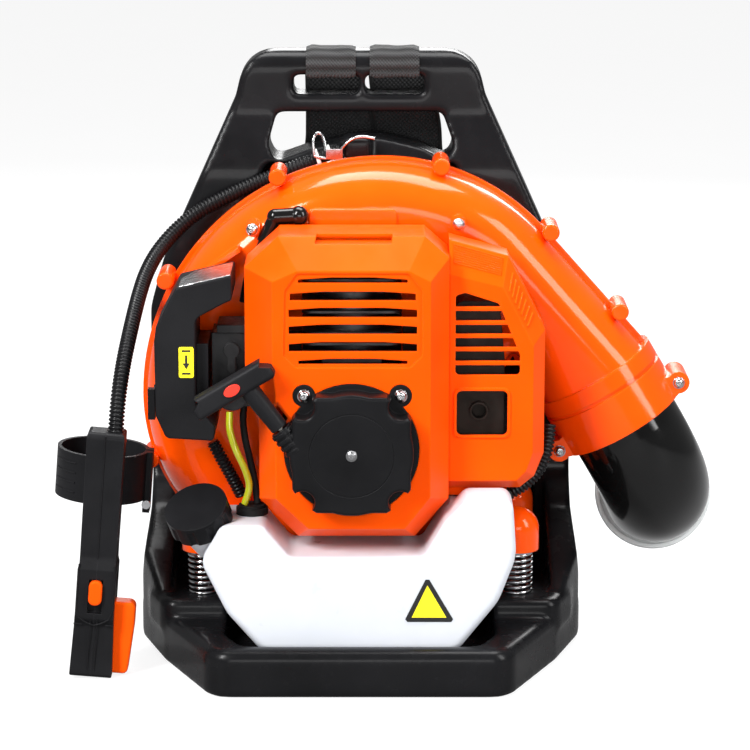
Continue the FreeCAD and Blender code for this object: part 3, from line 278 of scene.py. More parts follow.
def clear_hose(name, colour, rough):
    """Partly see-through tube with a glossy skin."""
    made, tree, shader = material(name)
    place = node(tree, "ShaderNodeTexCoord").outputs["Object"]
    cloud = noise_of(tree, place, 120.0, 3.0)
    darker = tuple(c * 0.72 for c in colour)
    tree.links.new(blend_colours(tree, cloud, darker, colour), shader.inputs["Base Color"])
    tree.links.new(ranged(tree, cloud, rough * 0.8, rough * 1.3), shader.inputs["Roughness"])
    shader.inputs["Transmission Weight"].default_value = 0.35
    shader.inputs["IOR"].default_value = 1.45
    shader.inputs["Coat Weight"].default_value = 0.4
    return made


def make_materials():
    orange, deep = (0.95, 0.082, 0.0012), (0.92, 0.066, 0.001)
    # Pale orange on the case, cover and button edges is painted highlight along the rims.
    rim_highlight_orange = (1.0, 0.15, 0.004)
    warm = (1.0, 0.16, 0.01)
    black, dark = (0.0045, 0.0045, 0.005), (0.008, 0.008, 0.009)
    grey = (0.045, 0.045, 0.047)
    return {
        "case": moulded("orange_gloss", deep, orange, 0.2, grain=260, bump=0.05, edge=rim_highlight_orange,
                        coat=0.4, radius=0.0016, specular=0.4, tint=warm),
        "cover": moulded("orange_satin", deep, orange, 0.34, grain=700, bump=0.10, edge=rim_highlight_orange,
                         coat=0.06, radius=0.0018, specular=0.4, tint=warm),
        "button": moulded("orange_button", (0.9, 0.075, 0.003), (0.97, 0.1, 0.004), 0.34, grain=900,
                          bump=0.12, edge=rim_highlight_orange, radius=0.001, tint=warm),
        "frame": moulded("frame_black", black, dark, 0.25, grain=420, bump=0.10, edge=grey,
                         edge_share=0.1, radius=0.003, specular=0.09, coat=0.06),
        "plastic": moulded("black_plastic", black, dark, 0.36, grain=1500, bump=0.3, edge=grey,
                           edge_share=0.3, radius=0.0009, specular=0.07, coat=0.05),
        "handle": moulded("handle_black", (0.007, 0.007, 0.0078), (0.012, 0.012, 0.0132), 0.42,
                          grain=1700, bump=0.45, edge=grey, edge_share=0.35, radius=0.0009,
                          specular=0.08),
        "gloss": moulded("black_gloss", (0.003, 0.003, 0.003), (0.005, 0.005, 0.005), 0.12,
                         grain=120, bump=0.03, coat=0.3, radius=0.001, specular=0.15),
        "conduit": moulded("conduit_black", black, dark, 0.3, grain=1200, bump=0.1, radius=0.0002,
                           specular=0.18),
        "rubber": moulded("rubber", (0.006, 0.006, 0.006), (0.011, 0.011, 0.011), 0.55, grain=1400,
                          bump=0.3, radius=0.0006, specular=0.1),
        # The tank's lighter edge colour is painted highlight along its rims.
        "tank": moulded("tank_milky", (0.56, 0.585, 0.63), (0.62, 0.64, 0.685), 0.33, grain=160,
                        bump=0.06, radius=0.003, subsurface=0.35, edge=(0.72, 0.73, 0.76),
                        edge_share=0.4),
        "grey": moulded("grey_plastic", (0.66, 0.68, 0.68), (0.74, 0.76, 0.76), 0.3, grain=500,
                        bump=0.08),
        "tie": moulded("tie_white", (0.8, 0.8, 0.78), (0.88, 0.88, 0.86), 0.35, grain=700,
                       bump=0.08),
        "red": moulded("red_insert", (0.7, 0.02, 0.01), (0.8, 0.035, 0.015), 0.3, grain=900,
                       bump=0.08, coat=0.3),
        "yellow": moulded("yellow_label", (0.86, 0.72, 0.01), (0.92, 0.78, 0.02), 0.35, grain=600,
                          bump=0.03, radius=0.0001),
        "ink": moulded("label_ink", (0.01, 0.01, 0.01), (0.015, 0.015, 0.015), 0.4, grain=600,
                       bump=0.03, radius=0.0001),
        "alloy": moulded("cast_alloy", (0.05, 0.05, 0.052), (0.1, 0.1, 0.102), 0.5, grain=1100,
                         bump=0.6, metallic=1.0, broad=60),
        "dark_alloy": moulded("dark_alloy", (0.012, 0.012, 0.0125), (0.03, 0.03, 0.031), 0.42,
                              grain=1100, bump=0.6, metallic=0.8, broad=60),
        "muffler": moulded("muffler_steel", (0.010, 0.007, 0.005), (0.022, 0.016, 0.013), 0.5,
                           grain=900, bump=0.5, metallic=0.7, broad=80),
        "foam": moulded("foam", (0.03, 0.03, 0.03), (0.06, 0.06, 0.06), 0.9, grain=1600, bump=1.0,
                        depth=0.0008),
        "steel": brushed("steel", (0.22, 0.22, 0.225), (0.34, 0.34, 0.345), 0.3),
        "chrome": brushed("chrome", (0.4, 0.4, 0.41), (0.52, 0.52, 0.53), 0.16,
                          stretch=(300, 300, 300)),
        "silver": brushed("silver_trim", (0.55, 0.55, 0.56), (0.68, 0.68, 0.69), 0.24,
                          stretch=(60, 900, 900)),
        "web": woven("webbing_weave", (0.0015, 0.0015, 0.0015), (0.022, 0.022, 0.023), 0.0026,
                     0.0012, ribs=0.0075, sheen=0.06),
        "mesh": woven("pad_mesh", (0.006, 0.006, 0.006), (0.026, 0.026, 0.028), 0.0034, 0.0009,
                      sheen=0.08, uv=False),
        "binding": woven("pad_binding", (0.004, 0.004, 0.004), (0.014, 0.014, 0.015), 0.0014,
                         0.0004, sheen=0.05, uv=False),
        "rope": woven("rope_braid", (0.32, 0.31, 0.28), (0.62, 0.6, 0.55), 0.0018, 0.0005),
        "hose": clear_hose("fuel_hose_clear", (0.62, 0.66, 0.02), 0.18),
    }


# ---------------------------------------------------------------- piece helpers
def finish_piece(piece, body, finish, replaces=()):
    """Material, body and replaced CAD nodes of a new piece."""
    if finish:
        piece.data.materials.clear()
        piece.data.materials.append(finish)
    if body:
        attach(piece, body)
    if replaces:
        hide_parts(*replaces)
    return piece


def new_mesh(name, build, smooth=True, angle=35):
    """Makes an object from a function that fills a bmesh."""
    mesh = bpy.data.meshes.new(name)
    work = bmesh.new()
    build(work)
    bmesh.ops.recalc_face_normals(work, faces=work.faces)
    work.to_mesh(mesh)
    work.free()
    piece = bpy.data.objects.new(name, mesh)
    bpy.context.scene.collection.objects.link(piece)
    if smooth:
        bpy.context.view_layer.objects.active = piece
        piece.select_set(True)
        bpy.ops.object.shade_smooth_by_angle(angle=math.radians(angle))
        piece.select_set(False)
    return piece


def bevelled(piece, width, segments=3, angle=30):
    """Applies a bevel to the piece's sharp edges."""
    rounder = piece.modifiers.new("bevel", "BEVEL")
    rounder.width = width
    rounder.segments = segments
    rounder.limit_method = "ANGLE"
    rounder.angle_limit = math.radians(angle)
    apply_modifiers(piece)
    return piece


def apply_modifiers(piece):
    graph = bpy.context.evaluated_depsgraph_get()
    mesh = bpy.data.meshes.new_from_object(piece.evaluated_get(graph))
    piece.modifiers.clear()
    piece.data = mesh


def axes_for(direction, hint=UP):
    """Two unit vectors square to the direction."""
    across = direction.cross(hint)
    if across.length < 1e-4:
        across = direction.cross(Vector((1, 0, 0)))
    across.normalize()
    return across, direction.cross(across).normalized()


def lathe(work, profile, centre, axis, steps=40):
    """Turns (radius, height) pairs about an axis, closed at zero radius."""
    axis = axis.normalized()
    a, b = axes_for(axis)
    rings = []
    for radius, height in profile:
        if radius < 1e-7:
            rings.append([work.verts.new(centre + axis * height)])
            continue
        ring = []
        for k in range(steps):
            t = math.tau * k / steps
            out = (a * math.cos(t) + b * math.sin(t)) * radius
            ring.append(work.verts.new(centre + axis * height + out))
        rings.append(ring)
    for low, high in zip(rings, rings[1:]):
        for k in range(steps):
            n = (k + 1) % steps
            if len(low) == 1 and len(high) == 1:
                continue
            if len(low) == 1:
                work.faces.new((low[0], high[k], high[n]))
            elif len(high) == 1:
                work.faces.new((low[k], low[n], high[0]))
            else:
                work.faces.new((low[k], low[n], high[n], high[k]))
    return rings


def prism(work, outline, place, thickness):
    """Extrudes a closed outline of (a, b) points, placed by a function, along a vector."""
    low = [work.verts.new(place(a, b)) for a, b in outline]
    high = [work.verts.new(place(a, b) + thickness) for a, b in outline]
    count = len(outline)
    work.faces.new(low)
    work.faces.new(list(reversed(high)))
    for k in range(count):
        n = (k + 1) % count
        work.faces.new((low[k], low[n], high[n], high[k]))


def nurbs_line(points, samples=16):
    """Even points read from a smooth NURBS line that has these control points."""
    curve = bpy.data.curves.new("line", "CURVE")
    curve.dimensions = "3D"
    spline = curve.splines.new("NURBS")
    spline.points.add(len(points) - 1)
    for spot, point in zip(spline.points, points):
        spot.co = (*point, 1)
    spline.order_u = 3
    spline.use_endpoint_u = True
    curve.resolution_u = samples
    holder = bpy.data.objects.new("line", curve)
    bpy.context.scene.collection.objects.link(holder)
    bpy.context.view_layer.update()
    graph = bpy.context.evaluated_depsgraph_get()
    mesh = bpy.data.meshes.new_from_object(holder.evaluated_get(graph))
    line = [v.co.copy() for v in mesh.vertices]
    bpy.data.objects.remove(holder)
    bpy.data.curves.remove(curve)
    bpy.data.meshes.remove(mesh)
    return line


def spaced(line, step):
    """The same line in equal steps."""
    lengths = [0.0]
    for a, b in zip(line, line[1:]):
        lengths.append(lengths[-1] + (b - a).length)
    count = max(2, round(lengths[-1] / step))
    result, k = [], 0
    for i in range(count + 1):
        at = lengths[-1] * i / count
        while k < len(lengths) - 2 and lengths[k + 1] < at:
            k += 1
        part = (at - lengths[k]) / max(1e-9, lengths[k + 1] - lengths[k])
        result.append(line[k].lerp(line[k + 1], min(1.0, max(0.0, part))))
    return result


def sweep(work, line, radius_at, sides):
    """Closed round tube along a line; the radius is a number or a function of the point's index."""
    rings = []
    across = None
    for i, point in enumerate(line):
        ahead = line[min(i + 1, len(line) - 1)] - line[max(i - 1, 0)]
        ahead.normalize()
        if across is None:
            across, _ = axes_for(ahead)
        across = (across - ahead * across.dot(ahead)).normalized()
        other = ahead.cross(across)
        radius = radius_at(i) if callable(radius_at) else radius_at
        turns = [math.tau * k / sides for k in range(sides)]
        rings.append([work.verts.new(point + (across * math.cos(t) + other * math.sin(t)) * radius)
                      for t in turns])
    for low, high in zip(rings, rings[1:]):
        for k in range(sides):
            n = (k + 1) % sides
            work.faces.new((low[k], low[n], high[n], high[k]))
    work.faces.new(rings[0])
    work.faces.new(list(reversed(rings[-1])))


def sheet_faces(work, grid):
    """Makes the faces over a grid of vertices; gives each with its corners' (row, column)."""
    for i in range(len(grid) - 1):
        for j in range(len(grid[0]) - 1):
            corners = ((i, j), (i, j + 1), (i + 1, j + 1), (i + 1, j))
            yield work.faces.new([grid[row][column] for row, column in corners]), corners


def woven_sheet(work, uv, grid, row_step, wide):
    """Faces over a grid, with UVs in metres along and across the weave."""
    columns = len(grid[0]) - 1
    for face, corners in sheet_faces(work, grid):
        for loop, (row, column) in zip(face.loops, corners):
            loop[uv].uv = (row * row_step, wide * column / columns)


def close_rim(work, low, high):
    """Walls between the borders of two grids of the same size."""
    rows, columns = len(low) - 1, len(low[0]) - 1
    for i in range(rows):
        for j in (0, columns):
            work.faces.new((low[i][j], low[i + 1][j], high[i + 1][j], high[i][j]))
    for j in range(columns):
        for i in (0, rows):
            work.faces.new((low[i][j], low[i][j + 1], high[i][j + 1], high[i][j]))


def corrugated(name, line, radius, pitch=0.0030, depth=0.0011):
    """Ribbed sleeve: crests of the full radius with narrower grooves between them."""
    per_rib = 6
    fine = spaced(line, pitch / per_rib)
    lift = (0.0, 0.75, 1.0, 1.0, 0.75, 0.0)

    def radius_at(i):
        return radius - depth + depth * lift[i % per_rib]

    return new_mesh(name, lambda work: sweep(work, fine, radius_at, sides=20), angle=80)


# ---------------------------------------------------------------- cords and hoses
CORD_R, SIDE_CONDUIT_R = 0.006, 0.005
CORD_ROUTE = [mm(-182.5, -101, 172), mm(-181.5, -97.5, 196), mm(-179.5, -88.5, 218.5),
              mm(-177, -73.5, 237), mm(-174, -55.5, 253), mm(-171.5, -35.5, 266),
              mm(-169, -14, 277.5), mm(-165.5, 7, 289), mm(-158.5, 26.5, 301.5),
              mm(-146, 41, 315.5), mm(-129, 49.5, 329.5), mm(-106.5, 53, 341), mm(-84.5, 55, 351),
              mm(-62, 56.5, 360), mm(-39.5, 58, 368.5), mm(-16.5, 60, 376.5)]


def make_cords():
    line = nurbs_line(CORD_ROUTE)
    conduit = corrugated("control_sleeve", line, CORD_R)
    finish_piece(conduit, "frame", LOOK["conduit"], ("control_conduit",))
    length = sum((b - a).length for a, b in zip(line, line[1:]))
    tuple(CORD_ROUTE[0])


def make_side_conduits():
    left = [mm(-91, -45, 126), mm(-96, -47.5, 137), mm(-101.5, -49, 148), mm(-107, -49.5, 158),
            mm(-112.3, -49, 169)]
    right = [mm(108, -52, 126), mm(118, -52, 131), mm(129, -52, 139), mm(138, -51, 150),
             mm(143.5, -48, 165), mm(144.5, -43, 181)]
    for side, points in (("left", left), ("right", right)):
        piece = corrugated(side + "_sleeve", nurbs_line(points), SIDE_CONDUIT_R)
        finish_piece(piece, "powerhead", LOOK["conduit"], (side + "_conduit",))


# ---------------------------------------------------------------- CAD nodes that stay
NODE_LOOKS = {
    "fan_case_front": "case", "fan_case_rear": "case", "engine_cover": "cover",
    "side_cover": "cover", "intake_grille": "plastic", "crankcase": "alloy", "cylinder": "alloy",
    "spark_plug": "steel", "spark_plug_boot": "gloss", "ignition_coil": "dark_alloy",
    "ignition_lead": "rubber", "muffler": "muffler", "intake_manifold": "rubber",
    "carburettor": "dark_alloy", "air_filter_base": "plastic", "air_filter_element": "foam",
    "air_filter_cover": "handle", "fuel_tank": "tank", "tank_grommet": "rubber",
    "fuel_hose": "hose", "return_hose": "rubber", "starter_housing": "plastic",
    "crankshaft": "steel", "flywheel": "alloy", "impeller": "plastic", "piston": "alloy",
    "starter_reel": "plastic", "starter_handle": "handle", "handle_insert": "red", "elbow": "gloss",
    "elbow_ring": "grey", "fuel_cap": "plastic", "choke_lever": "plastic",
    "throttle_lever": "dark_alloy", "throttle_trigger": "button", "handle_left_shell": "handle",
    "handle_right_shell": "handle", "tube_clamp_ring": "handle", "cable_ties": "tie",
    "clamp_screw": "chrome",
}


def dress_nodes():
    for name, look in NODE_LOOKS.items():
        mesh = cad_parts[name].data
        mesh.materials.clear()
        mesh.materials.append(LOOK[look])


SHELL_VOXEL, SHELL_RELAX, SHELL_PASSES = 0.0021, 0.5, 9


def make_frame_shell():
    """Blow-moulded shell: the frame's shape with every edge run softly together."""
    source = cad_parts["backpack_frame"]
    shell = bpy.data.objects.new("frame_shell", source.data.copy())
    shell.matrix_world = source.matrix_world.copy()
    bpy.context.scene.collection.objects.link(shell)
    melt = shell.modifiers.new("melt", "REMESH")
    melt.mode = "VOXEL"
    melt.voxel_size = SHELL_VOXEL
    melt.use_smooth_shade = True
    relax = shell.modifiers.new("relax", "SMOOTH")
    relax.factor = SHELL_RELAX
    relax.iterations = SHELL_PASSES
    apply_modifiers(shell)
    finish_piece(shell, "frame", LOOK["frame"], ("backpack_frame",))


# ---------------------------------------------------------------- springs, screws, rope
SPRING_X, SPRING_ROWS = 120, (-45, 48)
SPRING_LOW, SPRING_TOP, SPRING_R, WIRE_R, TURNS = 0.050, 0.084, 0.0117, 0.0013, 7


def spring_line(x, y):
    """Coil with a flat turn at each end."""
    steps, points = 24, []
    total = TURNS + 2
    rise = SPRING_TOP - SPRING_LOW - 2 * WIRE_R
    for i in range(total * steps + 1):
        turn = i / steps
        active = min(max(turn - 0.75, 0.0), TURNS + 0.5) / (TURNS + 0.5)
        t = math.tau * turn
        points.append(Vector((x + SPRING_R * math.cos(t), y + SPRING_R * math.sin(t),
                              SPRING_LOW + WIRE_R + rise * active)))
    return points


def make_springs():
    for row, y in zip(("front", "rear"), SPRING_ROWS):
        for word, side in SIDES:
            line = spring_line(side * SPRING_X * MM, y * MM)
            piece = new_mesh(row + "_" + word + "_coil",
                             lambda work: sweep(work, line, WIRE_R, sides=10), angle=80)
            finish_piece(piece, None, LOOK["chrome"],
                         (row + "_" + word + "_spring",))
            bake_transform(piece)


def pan_screw(work, centre, axis, radius, high):
    """Pan head with a washer flange and a cross recess."""
    profile = [(0.0, 0.0), (radius * 1.22, 0.0), (radius * 1.22, high * 0.22),
               (radius, high * 0.3), (radius * 0.98, high * 0.55), (radius * 0.86, high * 0.8),
               (radius * 0.62, high * 0.96), (radius * 0.46, high)]
    steps = 32
    rings = lathe(work, profile, centre, axis, steps=steps)
    a, b = axes_for(axis.normalized())
    low, deep = [], []
    for k in range(steps):
        t = math.tau * k / steps
        reach = radius * (0.44 if k % 8 in (0, 1, 7) else 0.17)
        spot = centre + (a * math.cos(t) + b * math.sin(t)) * reach
        low.append(work.verts.new(spot + axis.normalized() * high))
        deep.append(work.verts.new(spot + axis.normalized() * high * 0.45))
    for k in range(steps):
        n = (k + 1) % steps
        work.faces.new((rings[-1][k], rings[-1][n], low[n], low[k]))
        work.faces.new((low[k], low[n], deep[n], deep[k]))
    work.faces.new(deep)


OUTLET = Vector((0.51, 0, -0.86)).normalized()
OUTLET_ACROSS = Vector((0.86, 0, 0.51)).normalized()
COLLAR = mm(184, 10, 206)


def make_screws():
    front = Vector((0, -1, 0))
    spots = [mm(-81, -46.5, 332), mm(74, -46.5, 336)]
    for sign in (-1, 1):
        spot = COLLAR + OUTLET * 0.031 + OUTLET_ACROSS * (sign * 0.053)
        spots.append(Vector((spot.x, -0.010, spot.z)))

    def case(work):
        for spot in spots:
            pan_screw(work, spot, front, 0.0038, 0.0034)

    def starter(work):
        for x in (-41, 30):
            pan_screw(work, mm(x, -124.2, 221), front, 0.0041, 0.0037)

    def centre(work):
        pan_screw(work, mm(-6, -143.0, 180), front, 0.0034, 0.0016)

    for name, build in (("case", case), ("starter", starter)):
        finish_piece(new_mesh(name + "_screw_heads", build), "powerhead",
                     LOOK["chrome"], (name + "_screws",))
    finish_piece(new_mesh("starter_centre_screw", centre), "powerhead", LOOK["steel"])


ROPE_DIR = Vector((-0.61, 0, 0.7924)).normalized()
ROPE_TANGENT = mm(-6, -134, 180) - Vector((0.7924, 0, 0.61)) * 0.030
ROPE_R = 0.0019
ROPE_START, ROPE_JOINED, ROPE_END = 0.022, 0.047, 0.0595


def make_rope():
    start = ROPE_TANGENT + ROPE_DIR * ROPE_START
    end = ROPE_TANGENT + ROPE_DIR * ROPE_END
    line = [start.lerp(end, i / 60) for i in range(61)]
    piece = new_mesh("starter_cord", lambda work: sweep(work, line, ROPE_R, sides=12),
                     angle=80)
    finish_piece(piece, None, LOOK["rope"], ("starter_rope",))
    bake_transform(piece)


# ---------------------------------------------------------------- straps and pads
WEB_WIDE, WEB_STEP = 0.039, 0.0016
WEB_LEFT_EDGE = {-1: -0.043, 1: 0.007}
BINDING_R = 0.0021


def rounded_loop(front, rear, low, top, r_top, r_low, steps=8):
    """Points of a rounded rectangle in the YZ plane."""
    corners = [(front, low, r_low, math.pi), (rear, low, r_low, 1.5 * math.pi),
               (rear, top, r_top, 0.0), (front, top, r_top, 0.5 * math.pi)]
    points = []
    for y, z, radius, start in corners:
        centre_y = y + radius if y == front else y - radius
        centre_z = z + radius if z == low else z - radius
        for i in range(steps + 1):
            t = start + 0.5 * math.pi * i / steps
            points.append((centre_y + radius * math.cos(t), centre_z + radius * math.sin(t)))
    return points


def make_webbing_loops():
    for name, side in SIDES:
        x0 = WEB_LEFT_EDGE[side]
        loop = rounded_loop(0.0778, 0.1182, 0.4338, 0.4532, 0.0136, 0.0005)
        line = spaced([Vector((0, y, z)) for y, z in loop + loop[:1]], WEB_STEP)[:-1]
        columns = 18
        seed = Vector((x0 * 40, 3.1, 0.7))

        def build(work):
            uv = work.loops.layers.uv.new("UVMap")
            count = len(line)
            grids = []
            for layer in (0, 1):
                grid = []
                for i, spot in enumerate(line):
                    ahead = (line[(i + 1) % count] - line[i - 1]).normalized()
                    out = Vector((0, ahead.z, -ahead.y))
                    row = []
                    for j in range(columns + 1):
                        s = j / columns
                        x = x0 + WEB_WIDE * s
                        ripple = noise.noise(Vector((x * 70, spot.y * 60, spot.z * 60)) + seed)
                        fold = 0.5 + 0.5 * math.sin(s * 9 + 3 * ripple)
                        edge = min(1.0, 6 * min(s, 1 - s) + 0.35)
                        thick = (0.0015 + 0.0007 * fold + 0.0004 * ripple) * edge
                        lift = thick if layer else 0.0002
                        row.append(work.verts.new(Vector((x, spot.y, spot.z)) + out * lift))
                    grid.append(row)
                grids.append(grid)
            for grid in grids:
                woven_sheet(work, uv, grid + grid[:1], WEB_STEP, WEB_WIDE)
            for j in (0, columns):
                for i in range(count):
                    n = (i + 1) % count
                    work.faces.new((grids[0][i][j], grids[0][n][j], grids[1][n][j], grids[1][i][j]))

        piece = new_mesh(name + "_webbing_wrap", build, angle=60)
        finish_piece(piece, "frame", LOOK["web"], (name + "_webbing_loop",))


def pad_surface(work, rows, columns, middle_at, half_at, thick_at, crown):
    """Closed pad: two faces over a grid, thickest between its rounded edges."""
    uv = work.loops.layers.uv.new("UVMap")
    grids = []
    for face_side in (-1, 1):
        grid = []
        for i in range(rows + 1):
            t = i / rows
            centre, normal = middle_at(t)
            row = []
            for j in range(columns + 1):
                s = 2 * j / columns - 1
                edge = (1 - abs(s) ** 2.6) ** 0.5
                end = min(1.0, (1 - abs(2 * t - 1) ** 14) ** 0.5 + 0.04)
                bulge = crown(t, s) * edge
                offset = face_side * (0.0009 + thick_at(t) / 2 * max(edge, 0.0) * end + bulge)
                spot = centre + Vector((s * half_at(t), 0, 0)) + normal * offset
                row.append(work.verts.new(spot))
            grid.append(row)
        grids.append(grid)
    for grid in grids:
        for face, _ in sheet_faces(work, grid):
            for corner in face.loops:
                corner[uv].uv = (corner.vert.co.z, corner.vert.co.x)
    close_rim(work, *grids)


def shoulder_line(t):
    """Middle line of a shoulder strap in the YZ plane, from the slot down."""
    points = [(0.1266, 0.434), (0.1266, 0.396), (0.1515, 0.330), (0.1525, 0.180), (0.145, 0.118)]
    control = [Vector((0, y, z)) for y, z in points]
    at = t * (len(control) - 1)
    k = min(int(at), len(control) - 2)
    f = at - k
    before, after = control[max(k - 1, 0)], control[min(k + 2, len(control) - 1)]
    a, b = control[k], control[k + 1]
    spot = 0.5 * ((2 * a) + (b - before) * f + (2 * before - 5 * a + 4 * b - after) * f * f
                  + (3 * a - before - 3 * b + after) * f ** 3)
    return spot


# Height, inner edge and outer edge of a shoulder strap, in mm.
STRAP_EDGES = {
    -1: [(434, -4, -43), (415, 3, -42), (398, 9.5, -42), (360, 9.5, -43), (330, -6, -58),
         (290, -18, -77), (200, -32, -87), (118, -44.5, -92.5)],
    1: [(434, 7, 46), (415, 9, 56), (398, 12, 63), (360, 12, 63), (330, 16, 71), (290, 23, 82),
        (200, 36, 90), (118, 47.5, 95.5)],
}


def strap_track(side, z):
    """Middle and half width of a shoulder strap at a height, in metres."""
    rows = STRAP_EDGES[side]
    z = min(max(z / MM, rows[-1][0]), rows[0][0])
    total, inner, outer = 0.0, 0.0, 0.0
    for step in range(-6, 7):
        at = min(max(z + step * 3.5, rows[-1][0]), rows[0][0])
        for high, low in zip(rows, rows[1:]):
            if at >= low[0]:
                part = (high[0] - at) / (high[0] - low[0])
                inner += high[1] + (low[1] - high[1]) * part
                outer += high[2] + (low[2] - high[2]) * part
                total += 1
                break
    inner, outer = inner / total, outer / total
    return (inner + outer) / 2 * MM, abs(outer - inner) / 2 * MM


def make_shoulder_straps():
    for name, side in SIDES:
        def track(t):
            return strap_track(side, shoulder_line(t).z)

        def middle(t):
            spot = shoulder_line(t)
            ahead = (shoulder_line(min(t + 0.01, 1)) - shoulder_line(max(t - 0.01, 0))).normalized()
            normal = Vector((0, -ahead.z, ahead.y))
            if normal.y < 0:
                normal = -normal
            return Vector((track(t)[0], spot.y, spot.z)), normal

        def half(t):
            return track(t)[1]

        def thick(t):
            return 0.0035 + 0.0055 * min(1.0, max(0.0, (t - 0.18) / 0.2))

        def crown(t, s):
            seam = 0.0006 * math.exp(-((abs(s) - 0.78) / 0.05) ** 2)
            stitch = 0.0004 * math.sin(t * 60) * math.exp(-(s / 0.5) ** 2)
            return stitch * 0.5 - seam

        def build(work):
            pad_surface(work, 90, 24, middle, half, thick, crown)

        piece = new_mesh(name + "_shoulder_pad", build, angle=70)
        finish_piece(piece, "frame", LOOK["mesh"], (name + "_shoulder_strap",))

        def binding(work):
            for edge in (-1, 1):
                line = []
                for i in range(91):
                    centre, _ = middle(i / 90)
                    line.append(centre + Vector((edge * half(i / 90), 0, 0)))
                sweep(work, line, BINDING_R, sides=8)

        trim = new_mesh(name + "_shoulder_binding", binding, angle=70)
        finish_piece(trim, "frame", LOOK["binding"])


def make_lower_webbing():
    for name, side in SIDES:
        mid = WEB_LEFT_EDGE[side] + WEB_WIDE / 2 + side * 0.045
        line = [mm(0, 146, 121), mm(0, 144.5, 100), mm(0, 139, 70), mm(0, 134, 40), mm(0, 132, 26),
                mm(0, 131.6, 14)]
        foot = side * 0.118
        step = 0.0022
        spots = spaced(nurbs_line(line), step)

        def build(work):
            uv = work.loops.layers.uv.new("UVMap")
            columns, count = 14, len(spots)
            grids = []
            for layer in (-1, 1):
                grid = []
                for i, spot in enumerate(spots):
                    t = i / (count - 1)
                    centre = mid + (foot - mid) * t
                    wide = 0.0185 - 0.0038 * t
                    row = []
                    for j in range(columns + 1):
                        s = 2 * j / columns - 1
                        wave = 0.0009 * math.sin(t * 11 + s * 1.7) * (1 - t)
                        y = spot.y + wave + layer * 0.0009
                        row.append(work.verts.new(Vector((centre + wide * s, y, spot.z))))
                    grid.append(row)
                grids.append(grid)
            for grid in grids:
                woven_sheet(work, uv, grid, step, 0.035)
            close_rim(work, *grids)

        piece = new_mesh(name + "_lower_strap", build, angle=60)
        finish_piece(piece, "frame", LOOK["web"], (name + "_lower_webbing",))


def make_back_cushion():
    """Padded panel with two sewn channels across it."""
    low, high, near, far = 0.092, 0.332, 0.1222, 0.140

    def half(z):
        return 0.088 - 0.014 * (z - low) / (high - low)

    def build(work):
        rows, columns = 84, 60
        front, back = [], []
        for i in range(rows + 1):
            v = 2 * i / rows - 1
            z = low + (high - low) * (v + 1) / 2
            front_row, back_row = [], []
            for j in range(columns + 1):
                u = 2 * j / columns - 1
                corner = (abs(u) ** 6 + abs(v) ** 6) ** (1 / 6)
                shrink = 1.0 / corner if corner > 1 else 1.0
                x = u * half(z) * shrink
                zz = (low + high) / 2 + v * (high - low) / 2 * shrink
                edge = max(0.0, 1 - max(abs(u), abs(v)) ** 9)
                channel = 1.0
                for at in (-0.34, 0.34):
                    channel -= 0.62 * math.exp(-((v - at) / 0.045) ** 2)
                lumps = 0.0006 * noise.noise(Vector((x * 60, 0.3, zz * 60)))
                thick = (far - near) * 0.92 * edge ** 0.45 * max(channel, 0.2) + lumps * edge
                front_row.append(work.verts.new(Vector((x, near, zz))))
                back_row.append(work.verts.new(Vector((x, near + 0.0008 + thick, zz))))
            front.append(front_row)
            back.append(back_row)
        for grid in (front, back):
            for _ in sheet_faces(work, grid):
                pass
        close_rim(work, front, back)

    piece = new_mesh("back_cushion", build, angle=70)
    finish_piece(piece, "frame", LOOK["mesh"], ("back_pad",))


# ---------------------------------------------------------------- small details
def plate(name, outline, y, thick, body, look, bevel=0.0003):
    """Thin plate in the XZ plane facing the engine side; outline in mm."""
    def build(work):
        prism(work, [(x * MM, z * MM) for x, z in outline], lambda a, b: Vector((a, y * MM, b)),
              Vector((0, -thick * MM, 0)))
    piece = new_mesh(name, build, angle=40)
    if bevel:
        bevelled(piece, bevel, 2)
    return finish_piece(piece, body, LOOK[look])


def rounded_outline(x0, x1, z0, z1, radius, steps=6):
    points = []
    for cx, cz, start in ((x1 - radius, z1 - radius, 0), (x0 + radius, z1 - radius, 90),
                          (x0 + radius, z0 + radius, 180), (x1 - radius, z0 + radius, 270)):
        for i in range(steps + 1):
            t = math.radians(start + 90 * i / steps)
            points.append((cx + radius * math.cos(t), cz + radius * math.sin(t)))
    return points


def make_labels():
    plate("choke_label", rounded_outline(-133.4, -122.3, 232, 255.3, 1.6), -112.0, 0.5, "powerhead",
          "yellow", 0.0002)
    arrow = [(-128.7, 249), (-127.1, 249), (-127.1, 243), (-125.4, 243), (-127.9, 238.5),
             (-130.4, 243), (-128.7, 243)]
    plate("choke_arrow", arrow, -112.5, 0.2, "powerhead", "ink", 0)
    for number, z in enumerate((251.6, 234.6)):
        bar = [(-131, z), (-124.8, z), (-124.8, z + 1.4), (-131, z + 1.4)]
        plate("choke_bar_" + str(number), bar, -112.5, 0.2, "powerhead", "ink", 0)
    outer = [(48.6, 84), (51.4, 84), (69.2, 53.5), (67.8, 51.4), (35.2, 51.4), (33.6, 53.5)]
    inner = [(50, 79.6), (64.2, 54.9), (38.4, 54.9)]
    plate("tank_label_rim", outer, -134.0, 0.35, "powerhead", "ink", 0.0002)
    plate("tank_label_face", inner, -134.35, 0.2, "powerhead", "yellow", 0)


